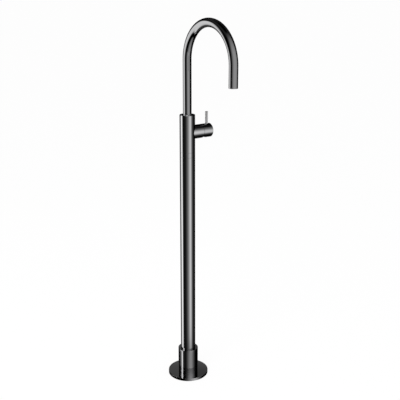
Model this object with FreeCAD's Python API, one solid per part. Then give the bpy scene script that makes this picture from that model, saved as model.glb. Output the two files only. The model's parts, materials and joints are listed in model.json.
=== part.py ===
import FreeCAD, Part
import math
import os

from FreeCAD import Vector

# Freestanding basin mixer: a floor-standing column with a swivelling gooseneck spout and a side valve.
# Millimetres. The origin is the centre of the foot on the floor, +Z is up, the spout points towards -Y
# and the valve towards +X.

# Base plate, its gasket and the dished cover over them
GASKET_T = 1.0
PLATE_T = 5.0
FLANGE_D = 137.0
FLANGE_WALL = 2.0
FLANGE_ROUND = 0.8
COVER_HEADROOM = 1.0
PLATE_RIM_GAP = 0.5
FLANGE_HOLE_GAP = 0.5
FLOOR_SCREW_PCD = 104.0
FLOOR_SCREW_COUNT = 4
FLOOR_SCREW_HOLE_D = 6.6
FLOOR_SCREW_HEAD_D = 12.6
FLOOR_SCREW_ANGLE = 0.0

# Column, its foot and the collar round it
COLUMN_D = 50.0
COLUMN_WALL = 2.0
COLUMN_L = 773.0
COLLAR_D = 68.0
COLLAR_WALL = 3.0
COLLAR_H = 87.0
COLLAR_LIP = 5.0
COLLAR_CHAMFER = 0.6
FOOT_SPIGOT_H = 50.0
FOOT_RIM = 3.7
FOOT_SCREW_D = 4.0
FOOT_SCREW_HEAD_D = 7.6
FOOT_SCREW_KEY = 2.5
FOOT_SCREW_COUNT = 4
FOOT_SCREW_ANGLE = 45.0
FOOT_SCREW_EDGE = 1.0
COLUMN_SCREW_D = 5.0
COLUMN_SCREW_L = 7.0
COLUMN_SCREW_KEY = 2.5
COLUMN_SCREW_H = 25.0

# Water inlets and risers
PIPE_SPREAD = 10.0
INLET_HEX = 19.0
INLET_BODY_D = 18.0
INLET_THREAD_D = 15.0
INLET_THREAD_L = 12.0
INLET_HOLE_GAP = 0.7
PASSAGE_D = 8.0
RISER_D = 10.0
RISER_WALL = 1.0
RISER_SOCKET = 15.0
RISER_GRIP = 7.0
NUT_HEX = 15.0
NUT_HEX_H = 6.0
NUT_SHANK_D = 13.0
NUT_SHANK_L = 9.0
OLIVE_L = 3.0
OLIVE_CHAMFER = 0.75

# Joint ring between the column and the mixer body
RING_H = 16.0
RING_LOWER_SPIGOT = 20.0
RING_UPPER_SPIGOT = 12.0
RING_SPIGOT_WALL = 3.0
SEAM_CHAMFER = 0.3

# Mixer body
BODY_H = 121.0
BODY_SOCKET_WALL = 4.0
BODY_SOCKET_H = 28.0
BODY_TOP_CHAMFER = 0.9
VALVE_RISE = 62.0
OUTLET_SETBACK = 7.0

# Valve neck and knob
VALVE_D = 45.0
NECK_REACH = 52.0
KNOB_GAP = 0.5
KNOB_L = 35.0
KNOB_FRONT = 6.0
KNOB_CHAMFER = 0.7
KNOB_RELIEF_L = 15.5
KNOB_RELIEF_H = 11.0
NECK_MOUTH_WALL = 1.9
NECK_MOUTH_L = 4.0
LEVER_D = 9.0
LEVER_SETBACK = 12.25
LEVER_EXPOSED = 39.2
LEVER_SOCKET = 4.0
LEVER_ROUND = 0.6
LEVER_STUD_D = 6.0
LEVER_STUD_L = 7.0
KNOB_SCREW_D = 4.0
KNOB_SCREW_L = 7.0
KNOB_SCREW_KEY = 2.0

# Cartridge
CARTRIDGE_D = 35.0
CARTRIDGE_WALL = 1.3
CARTRIDGE_LID = 2.5
CARTRIDGE_BASE_T = 4.5
CARTRIDGE_BASE_RIM = 1.5
FIXED_DISC_T = 4.0
MOVING_DISC_T = 4.0
MOVING_DISC_D = 24.0
MIXING_POCKET_D = 16.0
MIXING_POCKET_DEPTH = 2.0
MIXING_POCKET_DROP = 1.5
PORT_D = 6.4
INLET_PORT_SIDE = 8.5
INLET_PORT_RISE = 5.0
OUTLET_PORT_DROP = 7.0
PORT_SEAL_W = 1.5
PORT_SEAL_T = 1.5
PEG_D = 3.0
PEG_L = 2.5
PEG_SIDE = 13.0
PEG_DROP = 4.0
SLIDER_W = 18.0
SLIDER_L = 21.0
SLIDER_FLOOR = 1.2
SLIDER_COLLAR = 3.0
SLIDER_PEG_D = 2.4
SLIDER_PEG_L = 1.5
SLIDER_PEG_SIDE = 5.5
ROTOR_PLATE_T = 2.0
ROTOR_NECK_D = 24.0
ROTOR_ABOVE_PIVOT = 4.0
ROTOR_SLOT_H = 14.4
PIVOT_INSET = 10.0
PIVOT_PIN_D = 4.0
PIVOT_PIN_INSET = 2.0
TILT_ARM = 10.0
TILT_MAX = 25.0
STEM_BALL_D = 6.0
STEM_WAIST_D = 4.0
STEM_EYE_D = 10.0
STEM_SQUARE = 7.0
NUT_RING_L = 7.0
NUT_RING_BORE_D = 27.0
NUT_THREAD_STEP = 1.5
NUT_NOTCH_W = 4.0
NUT_NOTCH_COUNT = 6
NUT_NOTCH_DEPTH = 2.5
DOME_WALL = 2.5
DOME_HOLE_GAP = 0.6

# Spout
SPOUT_D = 27.5
SPOUT_WALL = 1.5
SPOUT_RISE = 173.0
BEND_R = 118.0
SPOUT_DROP = 62.0
SPOUT_ROUND = 0.4
SPIGOT_D = 23.8
SPIGOT_BORE_D = 16.0
SPIGOT_L = 34.0
SPIGOT_PLUG_L = 16.0
SWIVEL_MAX = 60.0
STOP_SCREW_D = 5.0
STOP_POINT_D = 3.0
STOP_POINT_L = 1.8
STOP_SCREW_KEY = 2.5
STOP_SCREW_INSET = 0.5
STOP_BELOW_TOP = 8.0
GLIDE_T = 1.2
GLIDE_PROUD = 0.4
GLIDE_INSET = 0.2
SPIGOT_SEAL_T = 1.8
SPIGOT_SEAL_BELOW_TOP = 16.0
SPIGOT_SEAL_PITCH = 9.0
SPIGOT_SEAL_COUNT = 2

# Aerator
AERATOR_RECESS = 1.0
AERATOR_L = 14.0
AERATOR_WALL = 2.0
AERATOR_INSERT_L = 9.0
AERATOR_HOLE_D = 3.0
AERATOR_HOLE_PITCH = 4.2
AERATOR_SEAL_T = 2.0

# Round seals
COLLAR_SEAL_T = 2.4
JOINT_SEAL_T = 1.8

# Clearances
SEAT_GAP = 0.1
RUN_GAP = 0.05
MOVE_GAP = 0.3
SQUASH_GAP = 0.02

# Radii that several pieces share
flange_r = FLANGE_D / 2
column_r = COLUMN_D / 2
column_bore_r = column_r - COLUMN_WALL
collar_r = COLLAR_D / 2
valve_r = VALVE_D / 2
passage_r = PASSAGE_D / 2
riser_r = RISER_D / 2
cartridge_r = CARTRIDGE_D / 2
cartridge_bore_r = cartridge_r - CARTRIDGE_WALL
stem_half = STEM_SQUARE / 2
spout_r = SPOUT_D / 2
spout_bore_r = spout_r - SPOUT_WALL
spigot_r = SPIGOT_D / 2
body_socket_r = column_r - BODY_SOCKET_WALL
chamber_r = cartridge_r + SEAT_GAP
chamber_thread_r = chamber_r + NUT_THREAD_STEP
neck_mouth_r = valve_r - NECK_MOUTH_WALL
aerator_r = spout_bore_r - SQUASH_GAP
aerator_bore_r = aerator_r - AERATOR_WALL

# Radii of the foot, worked outwards from the two inlets
inlet_reach = math.hypot(PIPE_SPREAD + INLET_HEX / 2, INLET_HEX / 2 * math.tan(math.pi / 6))
opening_r = inlet_reach + INLET_HOLE_GAP
foot_screw_pcr = opening_r + FOOT_SCREW_HEAD_D / 2 + FOOT_SCREW_EDGE
foot_r = foot_screw_pcr + FOOT_RIM

# Heights
plate_top = GASKET_T + PLATE_T
flange_top = plate_top + COVER_HEADROOM + FLANGE_WALL
column_bottom = flange_top
foot_top = column_bottom + FOOT_SPIGOT_H
collar_top = flange_top + COLLAR_H
column_top = column_bottom + COLUMN_L
body_bottom = column_top + RING_H
body_top = body_bottom + BODY_H
valve_z = body_bottom + VALVE_RISE
nut_seat_z = body_bottom + BODY_SOCKET_H
riser_socket_z = nut_seat_z + NUT_SHANK_L + OLIVE_L
riser_bottom = foot_top - RISER_SOCKET + SEAT_GAP
riser_top = riser_socket_z + RISER_GRIP
spout_bottom = body_top + GLIDE_PROUD + RUN_GAP
bend_z = body_top + SPOUT_RISE
outlet_z = bend_z - SPOUT_DROP
aerator_bottom = outlet_z + AERATOR_RECESS
spigot_bottom = body_top - SPIGOT_L

# Stations along the valve, counted outwards from the column's axis
seam_x = NECK_REACH
knob_start = seam_x + KNOB_GAP
knob_end = knob_start + KNOB_L
lever_x = knob_end - LEVER_SETBACK
pivot_x = seam_x - PIVOT_INSET
ball_x = pivot_x - TILT_ARM
stem_end = knob_end - KNOB_FRONT - SEAT_GAP
slider_start = ball_x - STEM_BALL_D / 2 - MOVE_GAP - SLIDER_FLOOR
slider_end = ball_x + SLIDER_COLLAR
moving_disc_x = slider_start - MOVING_DISC_T
fixed_disc_x = moving_disc_x - FIXED_DISC_T
chamber_floor = fixed_disc_x - CARTRIDGE_BASE_T
rotor_plate_x = slider_end + MOVE_GAP
rotor_plate_end = rotor_plate_x + ROTOR_PLATE_T
rotor_end = pivot_x + ROTOR_ABOVE_PIVOT
lid_x = rotor_plate_end + RUN_GAP
housing_start = chamber_floor + CARTRIDGE_BASE_RIM
housing_end = lid_x + CARTRIDGE_LID
mouth_x = seam_x - NECK_MOUTH_L
dome_r = math.hypot(valve_r, PIVOT_INSET)

# The disc slides this far while the knob tilts, and is centred half way
disc_travel = TILT_ARM * math.sin(math.radians(TILT_MAX))
disc_rest = valve_z - disc_travel / 2
inlet_port_z = valve_z + INLET_PORT_RISE
outlet_port_z = valve_z - OUTLET_PORT_DROP
stop_z = body_top - STOP_BELOW_TOP

# The dome's hole lets the stem through at full tilt
tilt = math.radians(TILT_MAX)
stem_reach = dome_r * math.sin(tilt) + stem_half * math.cos(tilt)
dome_hole_r = math.hypot(stem_reach, stem_half) + DOME_HOLE_GAP

OVERRUN = 1.0
UP = Vector(0, 0, 1)
OUTWARD = Vector(1, 0, 0)
SIDEWAYS = Vector(0, 1, 0)


def upright(radius, bottom, top, x=0.0, y=0.0):
    """A cylinder that stands on Z between two heights."""
    return Part.makeCylinder(radius, top - bottom, Vector(x, y, bottom), UP)


def upright_ring(outer, inner, bottom, top, x=0.0, y=0.0):
    """An upright tube between two heights."""
    bore = upright(inner, bottom - OVERRUN, top + OVERRUN, x, y)
    return upright(outer, bottom, top, x, y).cut(bore)


def level(radius, start, end, y=0.0, z=valve_z):
    """A cylinder along the valve, between two stations."""
    return Part.makeCylinder(radius, end - start, Vector(start, y, z), OUTWARD)


def level_ring(outer, inner, start, end, y=0.0, z=valve_z):
    """A tube along the valve, between two stations."""
    bore = level(inner, start - OVERRUN, end + OVERRUN, y, z)
    return level(outer, start, end, y, z).cut(bore)


def block(x_span, y_span, z_span):
    """A box between two corners, given as its three spans."""
    low = Vector(x_span[0], y_span[0], z_span[0])
    sizes = [span[1] - span[0] for span in (x_span, y_span, z_span)]
    return Part.makeBox(sizes[0], sizes[1], sizes[2], low)


def hexagon(across_flats, start, direction, length):
    """A hexagonal bar from a point along a direction; an upright one has two flats square to Y."""
    corner_r = across_flats / 2 / math.cos(math.pi / 6)
    corner_circle = Part.Circle(start, direction, corner_r)
    corners = [corner_circle.value(math.radians(60 * step)) for step in range(7)]
    return Part.Face(Part.makePolygon(corners)).extrude(direction * length)


def circle_places(count, radius, first_angle):
    """Places evenly spaced on a circle round the column."""
    places = []
    for step in range(count):
        angle = math.radians(first_angle + 360 / count * step)
        places.append((radius * math.cos(angle), radius * math.sin(angle)))
    return places


def seal_ring(thickness, centre_r, height):
    """A round rubber ring about the column's axis."""
    return Part.makeTorus(centre_r, thickness / 2, Vector(0, 0, height), UP)


def edges_at(shape, radius, height=None, station=None):
    """The shape's circular edges of one radius, at a height or at a station along the valve."""
    found = []
    for edge in shape.Edges:
        if not isinstance(edge.Curve, Part.Circle) or abs(edge.Curve.Radius - radius) > 1e-6:
            continue
        centre = edge.Curve.Center
        if height is not None and abs(centre.z - height) < 1e-6:
            found.append(edge)
        if station is not None and abs(centre.x - station) < 1e-6:
            found.append(edge)
    return found


def group(shapes):
    """Separate solids of one kind, kept as one node."""
    return Part.makeCompound(shapes)


# Foot

def make_base_gasket():
    rim_r = flange_r - FLANGE_WALL - PLATE_RIM_GAP
    gasket = upright_ring(rim_r, opening_r, 0, GASKET_T)
    for x, y in circle_places(FLOOR_SCREW_COUNT, FLOOR_SCREW_PCD / 2, FLOOR_SCREW_ANGLE):
        gasket = gasket.cut(upright(FLOOR_SCREW_HOLE_D / 2, -OVERRUN, GASKET_T + OVERRUN, x, y))
    for x, y in circle_places(FOOT_SCREW_COUNT, foot_screw_pcr, FOOT_SCREW_ANGLE):
        gasket = gasket.cut(upright(FOOT_SCREW_HEAD_D / 2, -OVERRUN, GASKET_T + OVERRUN, x, y))
    return gasket


def countersink(head_d, hole_d, mouth_z, towards, x, y):
    """A 90 degree countersink whose wide end is at mouth_z, narrowing along +Z or -Z."""
    depth = (head_d - hole_d) / 2
    direction = Vector(0, 0, towards)
    return Part.makeCone(head_d / 2, hole_d / 2, depth, Vector(x, y, mouth_z), direction)


def make_base_plate():
    rim_r = flange_r - FLANGE_WALL - PLATE_RIM_GAP
    plate = upright_ring(rim_r, opening_r, GASKET_T, plate_top)
    for x, y in circle_places(FLOOR_SCREW_COUNT, FLOOR_SCREW_PCD / 2, FLOOR_SCREW_ANGLE):
        plate = plate.cut(upright(FLOOR_SCREW_HOLE_D / 2, 0, plate_top + OVERRUN, x, y))
        plate = plate.cut(countersink(FLOOR_SCREW_HEAD_D, FLOOR_SCREW_HOLE_D, plate_top, -1, x, y))
    for x, y in circle_places(FOOT_SCREW_COUNT, foot_screw_pcr, FOOT_SCREW_ANGLE):
        plate = plate.cut(upright(FOOT_SCREW_D / 2 + SEAT_GAP, 0, plate_top + OVERRUN, x, y))
        head_d = FOOT_SCREW_HEAD_D + 2 * SEAT_GAP
        plate = plate.cut(countersink(head_d, FOOT_SCREW_D + 2 * SEAT_GAP, GASKET_T, 1, x, y))
    return plate


def make_foot_screws():
    screws = []
    for x, y in circle_places(FOOT_SCREW_COUNT, foot_screw_pcr, FOOT_SCREW_ANGLE):
        head = countersink(FOOT_SCREW_HEAD_D, FOOT_SCREW_D, GASKET_T, 1, x, y)
        screw = head.fuse(upright(FOOT_SCREW_D / 2, GASKET_T, column_bottom, x, y))
        screws.append(screw.cut(hexagon(FOOT_SCREW_KEY, Vector(x, y, GASKET_T), UP, FOOT_SCREW_KEY)))
    return group(screws)


def make_column_foot():
    """Flanged brass spigot: it is screwed to the base plate, and the column stands over it."""
    foot = upright(foot_r, plate_top, column_bottom)
    foot = foot.fuse(upright(column_bore_r - SEAT_GAP, plate_top, foot_top)).removeSplitter()
    for y in (-PIPE_SPREAD, PIPE_SPREAD):
        foot = foot.cut(upright(INLET_BODY_D / 2 + RUN_GAP, plate_top - OVERRUN, foot_top + OVERRUN, 0, y))
    for x, y in circle_places(FOOT_SCREW_COUNT, foot_screw_pcr, FOOT_SCREW_ANGLE):
        foot = foot.cut(upright(FOOT_SCREW_D / 2, plate_top - OVERRUN, column_bottom + OVERRUN, x, y))
    for side in (-1, 1):
        foot = foot.cut(column_screw_cut(side, COLUMN_SCREW_D / 2))
    return foot


def column_screw_cut(side, radius):
    """The hole of a column grub screw on the +X or -X side."""
    tip = column_r - COLUMN_SCREW_L - SEAT_GAP
    centre = Vector(side * tip, 0, column_bottom + COLUMN_SCREW_H)
    return Part.makeCylinder(radius, COLUMN_SCREW_L + SEAT_GAP + OVERRUN, centre, Vector(side, 0, 0))


def make_column_grub_screws():
    screws = []
    for side in (-1, 1):
        outward = Vector(side, 0, 0)
        tip = Vector(side * (column_r - COLUMN_SCREW_L), 0, column_bottom + COLUMN_SCREW_H)
        length = COLUMN_SCREW_L - SEAT_GAP
        screw = Part.makeCylinder(COLUMN_SCREW_D / 2, length, tip, outward)
        key_floor = tip + outward * (length - COLUMN_SCREW_KEY)
        screws.append(screw.cut(hexagon(COLUMN_SCREW_KEY, key_floor, outward, COLUMN_SCREW_KEY)))
    return group(screws)


def make_floor_flange():
    """Thin dished cover: its rim stands on the floor and its top hides the base plate."""
    cover = upright(flange_r, 0, flange_top)
    cover = cover.makeFillet(FLANGE_ROUND, edges_at(cover, flange_r, height=flange_top))
    cover = cover.cut(upright(flange_r - FLANGE_WALL, -OVERRUN, flange_top - FLANGE_WALL))
    return cover.cut(upright(foot_r + FLANGE_HOLE_GAP, 0, flange_top + OVERRUN))


def make_collar():
    """Sleeve over the column's foot, closed at the top by a lip that holds a seal."""
    bore_r = column_r + SEAT_GAP
    collar = upright(collar_r, flange_top, collar_top)
    collar = collar.makeChamfer(COLLAR_CHAMFER, edges_at(collar, collar_r, height=collar_top))
    collar = collar.cut(upright(collar_r - COLLAR_WALL, flange_top - OVERRUN, collar_top - COLLAR_LIP))
    collar = collar.cut(upright(bore_r, flange_top, collar_top + OVERRUN))
    groove_r = column_r + COLLAR_SEAL_T + 2 * SQUASH_GAP
    middle = collar_top - COLLAR_LIP / 2
    half = COLLAR_SEAL_T / 2 + SQUASH_GAP
    return collar.cut(upright(groove_r, middle - half, middle + half))


def make_collar_o_ring():
    centre_r = column_r + COLLAR_SEAL_T / 2 + SQUASH_GAP
    return seal_ring(COLLAR_SEAL_T, centre_r, collar_top - COLLAR_LIP / 2)


# Column and water supply

def make_column_tube():
    tube = upright(column_r, column_bottom, column_top)
    tube = tube.makeChamfer(SEAM_CHAMFER, edges_at(tube, column_r, height=column_top))
    tube = tube.cut(upright(column_bore_r, column_bottom - OVERRUN, column_top + OVERRUN))
    for side in (-1, 1):
        tube = tube.cut(column_screw_cut(side, COLUMN_SCREW_D / 2 + SEAT_GAP))
    return tube


def make_inlet(y):
    """Brass inlet with a threaded mouth below and a socket for the riser above."""
    inlet = hexagon(INLET_HEX, Vector(0, y, GASKET_T), UP, PLATE_T)
    inlet = inlet.fuse(upright(INLET_BODY_D / 2, GASKET_T, foot_top, 0, y))
    inlet = inlet.cut(upright(INLET_THREAD_D / 2, 0, GASKET_T + INLET_THREAD_L, 0, y))
    inlet = inlet.cut(upright(passage_r, GASKET_T, foot_top, 0, y))
    return inlet.cut(upright(riser_r + RUN_GAP, riser_bottom - SEAT_GAP, foot_top + OVERRUN, 0, y))


def make_riser(y):
    return upright_ring(riser_r, riser_r - RISER_WALL, riser_bottom, riser_top, 0, y)


def make_riser_nuts():
    nuts = []
    hex_top = nut_seat_z - MOVE_GAP
    for y in (-PIPE_SPREAD, PIPE_SPREAD):
        nut = hexagon(NUT_HEX, Vector(0, y, hex_top - NUT_HEX_H), UP, NUT_HEX_H)
        nut = nut.fuse(upright(NUT_SHANK_D / 2, hex_top, nut_seat_z + NUT_SHANK_L, 0, y))
        bore = upright(riser_r + RUN_GAP, hex_top - NUT_HEX_H - OVERRUN, riser_top, 0, y)
        nuts.append(nut.cut(bore))
    return group(nuts)


def make_riser_olives():
    olives = []
    bottom = nut_seat_z + NUT_SHANK_L
    top = riser_socket_z
    radius = NUT_SHANK_D / 2
    for y in (-PIPE_SPREAD, PIPE_SPREAD):
        olive = upright(radius, bottom, top, 0, y)
        rims = edges_at(olive, radius, height=bottom) + edges_at(olive, radius, height=top)
        olive = olive.makeChamfer(OLIVE_CHAMFER, rims)
        olives.append(olive.cut(upright(riser_r, bottom - OVERRUN, top + OVERRUN, 0, y)))
    return group(olives)


# Joint ring

def make_joint_ring():
    """Coupling with a spigot down into the column and one up into the mixer body."""
    lower_r = column_bore_r - SEAT_GAP
    upper_r = body_socket_r - SEAT_GAP
    ring = upright(column_r, column_top, body_bottom)
    rims = edges_at(ring, column_r, height=column_top) + edges_at(ring, column_r, height=body_bottom)
    ring = ring.makeChamfer(SEAM_CHAMFER, rims)
    ring = ring.fuse(upright(lower_r, column_top - RING_LOWER_SPIGOT, column_top))
    ring = ring.fuse(upright(upper_r, body_bottom, body_bottom + RING_UPPER_SPIGOT))
    bore_r = upper_r - RING_SPIGOT_WALL
    bottom = column_top - RING_LOWER_SPIGOT - OVERRUN
    ring = ring.cut(upright(bore_r, bottom, body_bottom + RING_UPPER_SPIGOT + OVERRUN))
    middle = body_bottom + RING_UPPER_SPIGOT / 2
    half = JOINT_SEAL_T / 2 + SQUASH_GAP
    groove_r = body_socket_r - JOINT_SEAL_T - 2 * SQUASH_GAP
    return ring.cut(upright_ring(column_r, groove_r, middle - half, middle + half))


def make_joint_o_ring():
    centre_r = body_socket_r - JOINT_SEAL_T / 2 - SQUASH_GAP
    return seal_ring(JOINT_SEAL_T, centre_r, body_bottom + RING_UPPER_SPIGOT / 2)


# Mixer body

def make_mixer_body():
    """Brass body: water comes in from below, crosses the cartridge and leaves upwards to the spout."""
    body = upright(column_r, body_bottom, body_top)
    body = body.makeChamfer(SEAM_CHAMFER, edges_at(body, column_r, height=body_bottom))
    body = body.makeChamfer(BODY_TOP_CHAMFER, edges_at(body, column_r, height=body_top))
    neck = level(valve_r, 0, seam_x)
    neck = neck.makeChamfer(SEAM_CHAMFER / 2, edges_at(neck, valve_r, station=seam_x))
    body = body.fuse(neck).removeSplitter()
    body = body.cut(upright(body_socket_r, body_bottom - OVERRUN, nut_seat_z))
    body = body.cut(level(chamber_r, chamber_floor, seam_x + OVERRUN))
    body = body.cut(level(chamber_thread_r, housing_end, seam_x + OVERRUN))
    body = body.cut(level(neck_mouth_r, mouth_x, seam_x + OVERRUN))
    body = body.cut(water_ways())
    body = body.cut(spout_socket())
    for side in (-1, 1):
        peg_hole = level(PEG_D / 2 + RUN_GAP, chamber_floor - PEG_L - SEAT_GAP, chamber_floor + OVERRUN,
                         side * PEG_SIDE, valve_z - PEG_DROP)
        body = body.cut(peg_hole)
    return body


def water_ways():
    """Two ways up from the risers to the cartridge, and one from it up to the spout."""
    ways = []
    for side in (-1, 1):
        y = side * PIPE_SPREAD
        ways.append(upright(NUT_SHANK_D / 2 + RUN_GAP, nut_seat_z - OVERRUN, riser_socket_z, 0, y))
        ways.append(upright(riser_r + RUN_GAP, nut_seat_z, riser_top + SEAT_GAP, 0, y))
        ways.append(upright(passage_r, nut_seat_z, inlet_port_z, 0, y))
        ways.append(level(PORT_D / 2, 0, chamber_floor + OVERRUN, side * INLET_PORT_SIDE, inlet_port_z))
    ways.append(level(PORT_D / 2, -OUTLET_SETBACK, chamber_floor + OVERRUN, 0, outlet_port_z))
    ways.append(upright(passage_r, outlet_port_z, body_top - SPIGOT_L, -OUTLET_SETBACK, 0))
    first = ways[0]
    return first.fuse(ways[1:])


def spout_socket():
    """The spigot's bore, the glide ring's recess and the stop screw's hole."""
    socket = upright(spigot_r + RUN_GAP, spigot_bottom - OVERRUN, body_top + OVERRUN)
    recess = upright(spout_r - SEAT_GAP, body_top - GLIDE_T + GLIDE_PROUD, body_top + OVERRUN)
    hole = Part.makeCylinder(STOP_SCREW_D / 2, column_r, Vector(0, 0, stop_z), SIDEWAYS)
    return socket.fuse([recess, hole])


# Cartridge

def port_places():
    """Places of the hot, cold and mixed-water ports across the valve."""
    hot = (-INLET_PORT_SIDE, inlet_port_z)
    cold = (INLET_PORT_SIDE, inlet_port_z)
    mixed = (0.0, outlet_port_z)
    return (hot, cold, mixed)


def cut_ports(piece, radius, start, end):
    for y, z in port_places():
        piece = piece.cut(level(radius, start - OVERRUN, end + OVERRUN, y, z))
    return piece


def make_cartridge_base():
    base = level(cartridge_r, chamber_floor, housing_start)
    base = base.fuse(level(cartridge_bore_r - RUN_GAP, chamber_floor, fixed_disc_x)).removeSplitter()
    for side in (-1, 1):
        peg = level(PEG_D / 2, chamber_floor - PEG_L, chamber_floor, side * PEG_SIDE, valve_z - PEG_DROP)
        base = base.fuse(peg)
    base = cut_ports(base, PORT_D / 2, chamber_floor, fixed_disc_x)
    for y, z in port_places():
        seal_r = PORT_D / 2 + PORT_SEAL_W
        base = base.cut(level(seal_r, chamber_floor - OVERRUN, chamber_floor + PORT_SEAL_T, y, z))
    return base


def make_port_seals():
    seals = []
    for y, z in port_places():
        outer = PORT_D / 2 + PORT_SEAL_W
        seals.append(level_ring(outer, PORT_D / 2, chamber_floor, chamber_floor + PORT_SEAL_T, y, z))
    return group(seals)


def make_fixed_disc():
    disc = level(cartridge_bore_r - RUN_GAP, fixed_disc_x, moving_disc_x)
    return cut_ports(disc, PORT_D / 2, fixed_disc_x, moving_disc_x)


def make_moving_disc():
    """Ceramic disc with a mixing pocket on its underside; it lies flat on the fixed disc."""
    disc = level(MOVING_DISC_D / 2, moving_disc_x, slider_start, z=disc_rest)
    pocket_z = disc_rest - MIXING_POCKET_DROP
    pocket_end = moving_disc_x + MIXING_POCKET_DEPTH
    disc = disc.cut(level(MIXING_POCKET_D / 2, moving_disc_x - OVERRUN, pocket_end, z=pocket_z))
    for side in (-1, 1):
        start = slider_start - SLIDER_PEG_L - SEAT_GAP
        y = side * SLIDER_PEG_SIDE
        disc = disc.cut(level(SLIDER_PEG_D / 2 + RUN_GAP, start, slider_start + OVERRUN, y, disc_rest))
    return disc


def make_disc_slider():
    """Block that the stem's ball pushes; two pegs carry the ceramic disc along."""
    half_w = SLIDER_W / 2
    half_l = SLIDER_L / 2
    slider = block((slider_start, slider_end), (-half_w, half_w), (disc_rest - half_l, disc_rest + half_l))
    slider = slider.cut(level(STEM_BALL_D / 2 + MOVE_GAP, slider_start + SLIDER_FLOOR, slider_end + OVERRUN))
    for side in (-1, 1):
        y = side * SLIDER_PEG_SIDE
        peg = level(SLIDER_PEG_D / 2, slider_start - SLIDER_PEG_L, slider_start, y, disc_rest)
        slider = slider.fuse(peg)
    return slider


def make_cartridge_rotor():
    """Turns in the housing: its legs guide the slider and its neck carries the stem's pin."""
    outer = cartridge_bore_r - MOVE_GAP
    rail_start = slider_start + MOVE_GAP
    rotor = level(outer, rail_start, rotor_plate_end)
    rotor = rotor.fuse(level(ROTOR_NECK_D / 2, rail_start, rotor_end)).removeSplitter()
    channel_w = SLIDER_W / 2 + MOVE_GAP
    channel = block((rail_start - OVERRUN, rotor_plate_x), (-channel_w, channel_w),
                    (valve_z - cartridge_r, valve_z + cartridge_r))
    slot_w = stem_half + MOVE_GAP
    slot = block((rail_start, rotor_end + OVERRUN), (-slot_w, slot_w),
                 (valve_z - ROTOR_SLOT_H / 2, valve_z + ROTOR_SLOT_H / 2))
    pin_hole = sideways_pin(PIVOT_PIN_D / 2 + SQUASH_GAP, ROTOR_NECK_D / 2 + OVERRUN)
    return rotor.cut(channel).cut(slot).cut(pin_hole)


def sideways_pin(radius, reach):
    """A cylinder along Y through the tilt pivot, as long each way as its reach."""
    return Part.makeCylinder(radius, 2 * reach, Vector(pivot_x, -reach, valve_z), SIDEWAYS)


def make_pivot_pin():
    return sideways_pin(PIVOT_PIN_D / 2, ROTOR_NECK_D / 2 - PIVOT_PIN_INSET)


def make_stem():
    """Steel stem: a ball that drives the slider, an eye for the pin and a square end for the knob."""
    stem = Part.makeSphere(STEM_BALL_D / 2, Vector(ball_x, 0, valve_z))
    stem = stem.fuse(level(STEM_WAIST_D / 2, ball_x, pivot_x))
    eye = sideways_pin(STEM_EYE_D / 2, stem_half)
    square = block((pivot_x, stem_end), (-stem_half, stem_half), (valve_z - stem_half, valve_z + stem_half))
    stem = stem.fuse([eye, square]).removeSplitter()
    return stem.cut(sideways_pin(PIVOT_PIN_D / 2 + RUN_GAP, STEM_SQUARE))


def make_cartridge_housing():
    housing = level(cartridge_r, housing_start, housing_end)
    housing = housing.cut(level(cartridge_bore_r, housing_start - OVERRUN, lid_x))
    return housing.cut(level(ROTOR_NECK_D / 2 + RUN_GAP, housing_start, housing_end + OVERRUN))


def make_cartridge_nut():
    """Threaded ring that clamps the cartridge, with spanner notches in its outer face."""
    end = housing_end + NUT_RING_L
    outer = chamber_thread_r - RUN_GAP
    nut = level_ring(outer, NUT_RING_BORE_D / 2, housing_end, end)
    for step in range(NUT_NOTCH_COUNT):
        notch = block((end - NUT_NOTCH_DEPTH, end + OVERRUN), (-NUT_NOTCH_W / 2, NUT_NOTCH_W / 2),
                      (valve_z, valve_z + NUT_RING_BORE_D / 2 + NUT_NOTCH_DEPTH))
        notch.rotate(Vector(0, 0, valve_z), OUTWARD, 360 / NUT_NOTCH_COUNT * step)
        nut = nut.cut(notch)
    return nut


def make_dome_cover():
    """Ball-shaped cover in the neck's mouth, centred on the tilt pivot so that the knob clears it."""
    pivot = Vector(pivot_x, 0, valve_z)
    shell = Part.makeSphere(dome_r, pivot).cut(Part.makeSphere(dome_r - DOME_WALL, pivot))
    shell = shell.common(level(valve_r + OVERRUN, seam_x, pivot_x + dome_r + OVERRUN))
    inner_r = math.sqrt((dome_r - DOME_WALL) ** 2 - PIVOT_INSET ** 2)
    skirt = level_ring(neck_mouth_r - RUN_GAP, inner_r, mouth_x, seam_x)
    return shell.fuse(skirt).cut(level(dome_hole_r, seam_x, pivot_x + dome_r + OVERRUN))


# Knob and lever

def make_knob():
    knob = level(valve_r, knob_start, knob_end)
    knob = knob.makeChamfer(KNOB_CHAMFER, edges_at(knob, valve_r, station=knob_end))
    knob = knob.cut(Part.makeSphere(dome_r + MOVE_GAP, Vector(pivot_x, 0, valve_z)))
    half = stem_half + RUN_GAP
    knob = knob.cut(block((knob_start, stem_end + SEAT_GAP), (-half, half), (valve_z - half, valve_z + half)))
    knob_top = valve_z + valve_r
    seat_z = knob_top - LEVER_SOCKET
    knob = knob.cut(upright(LEVER_D / 2 + RUN_GAP, seat_z, knob_top + OVERRUN, lever_x, 0))
    knob = knob.cut(upright(LEVER_STUD_D / 2, seat_z - LEVER_STUD_L - SEAT_GAP, seat_z + OVERRUN, lever_x, 0))
    knob = knob.cut(upright(KNOB_SCREW_D / 2, valve_z - valve_r - OVERRUN, valve_z, lever_x, 0))
    return knob.cut(knob_relief())


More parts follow.
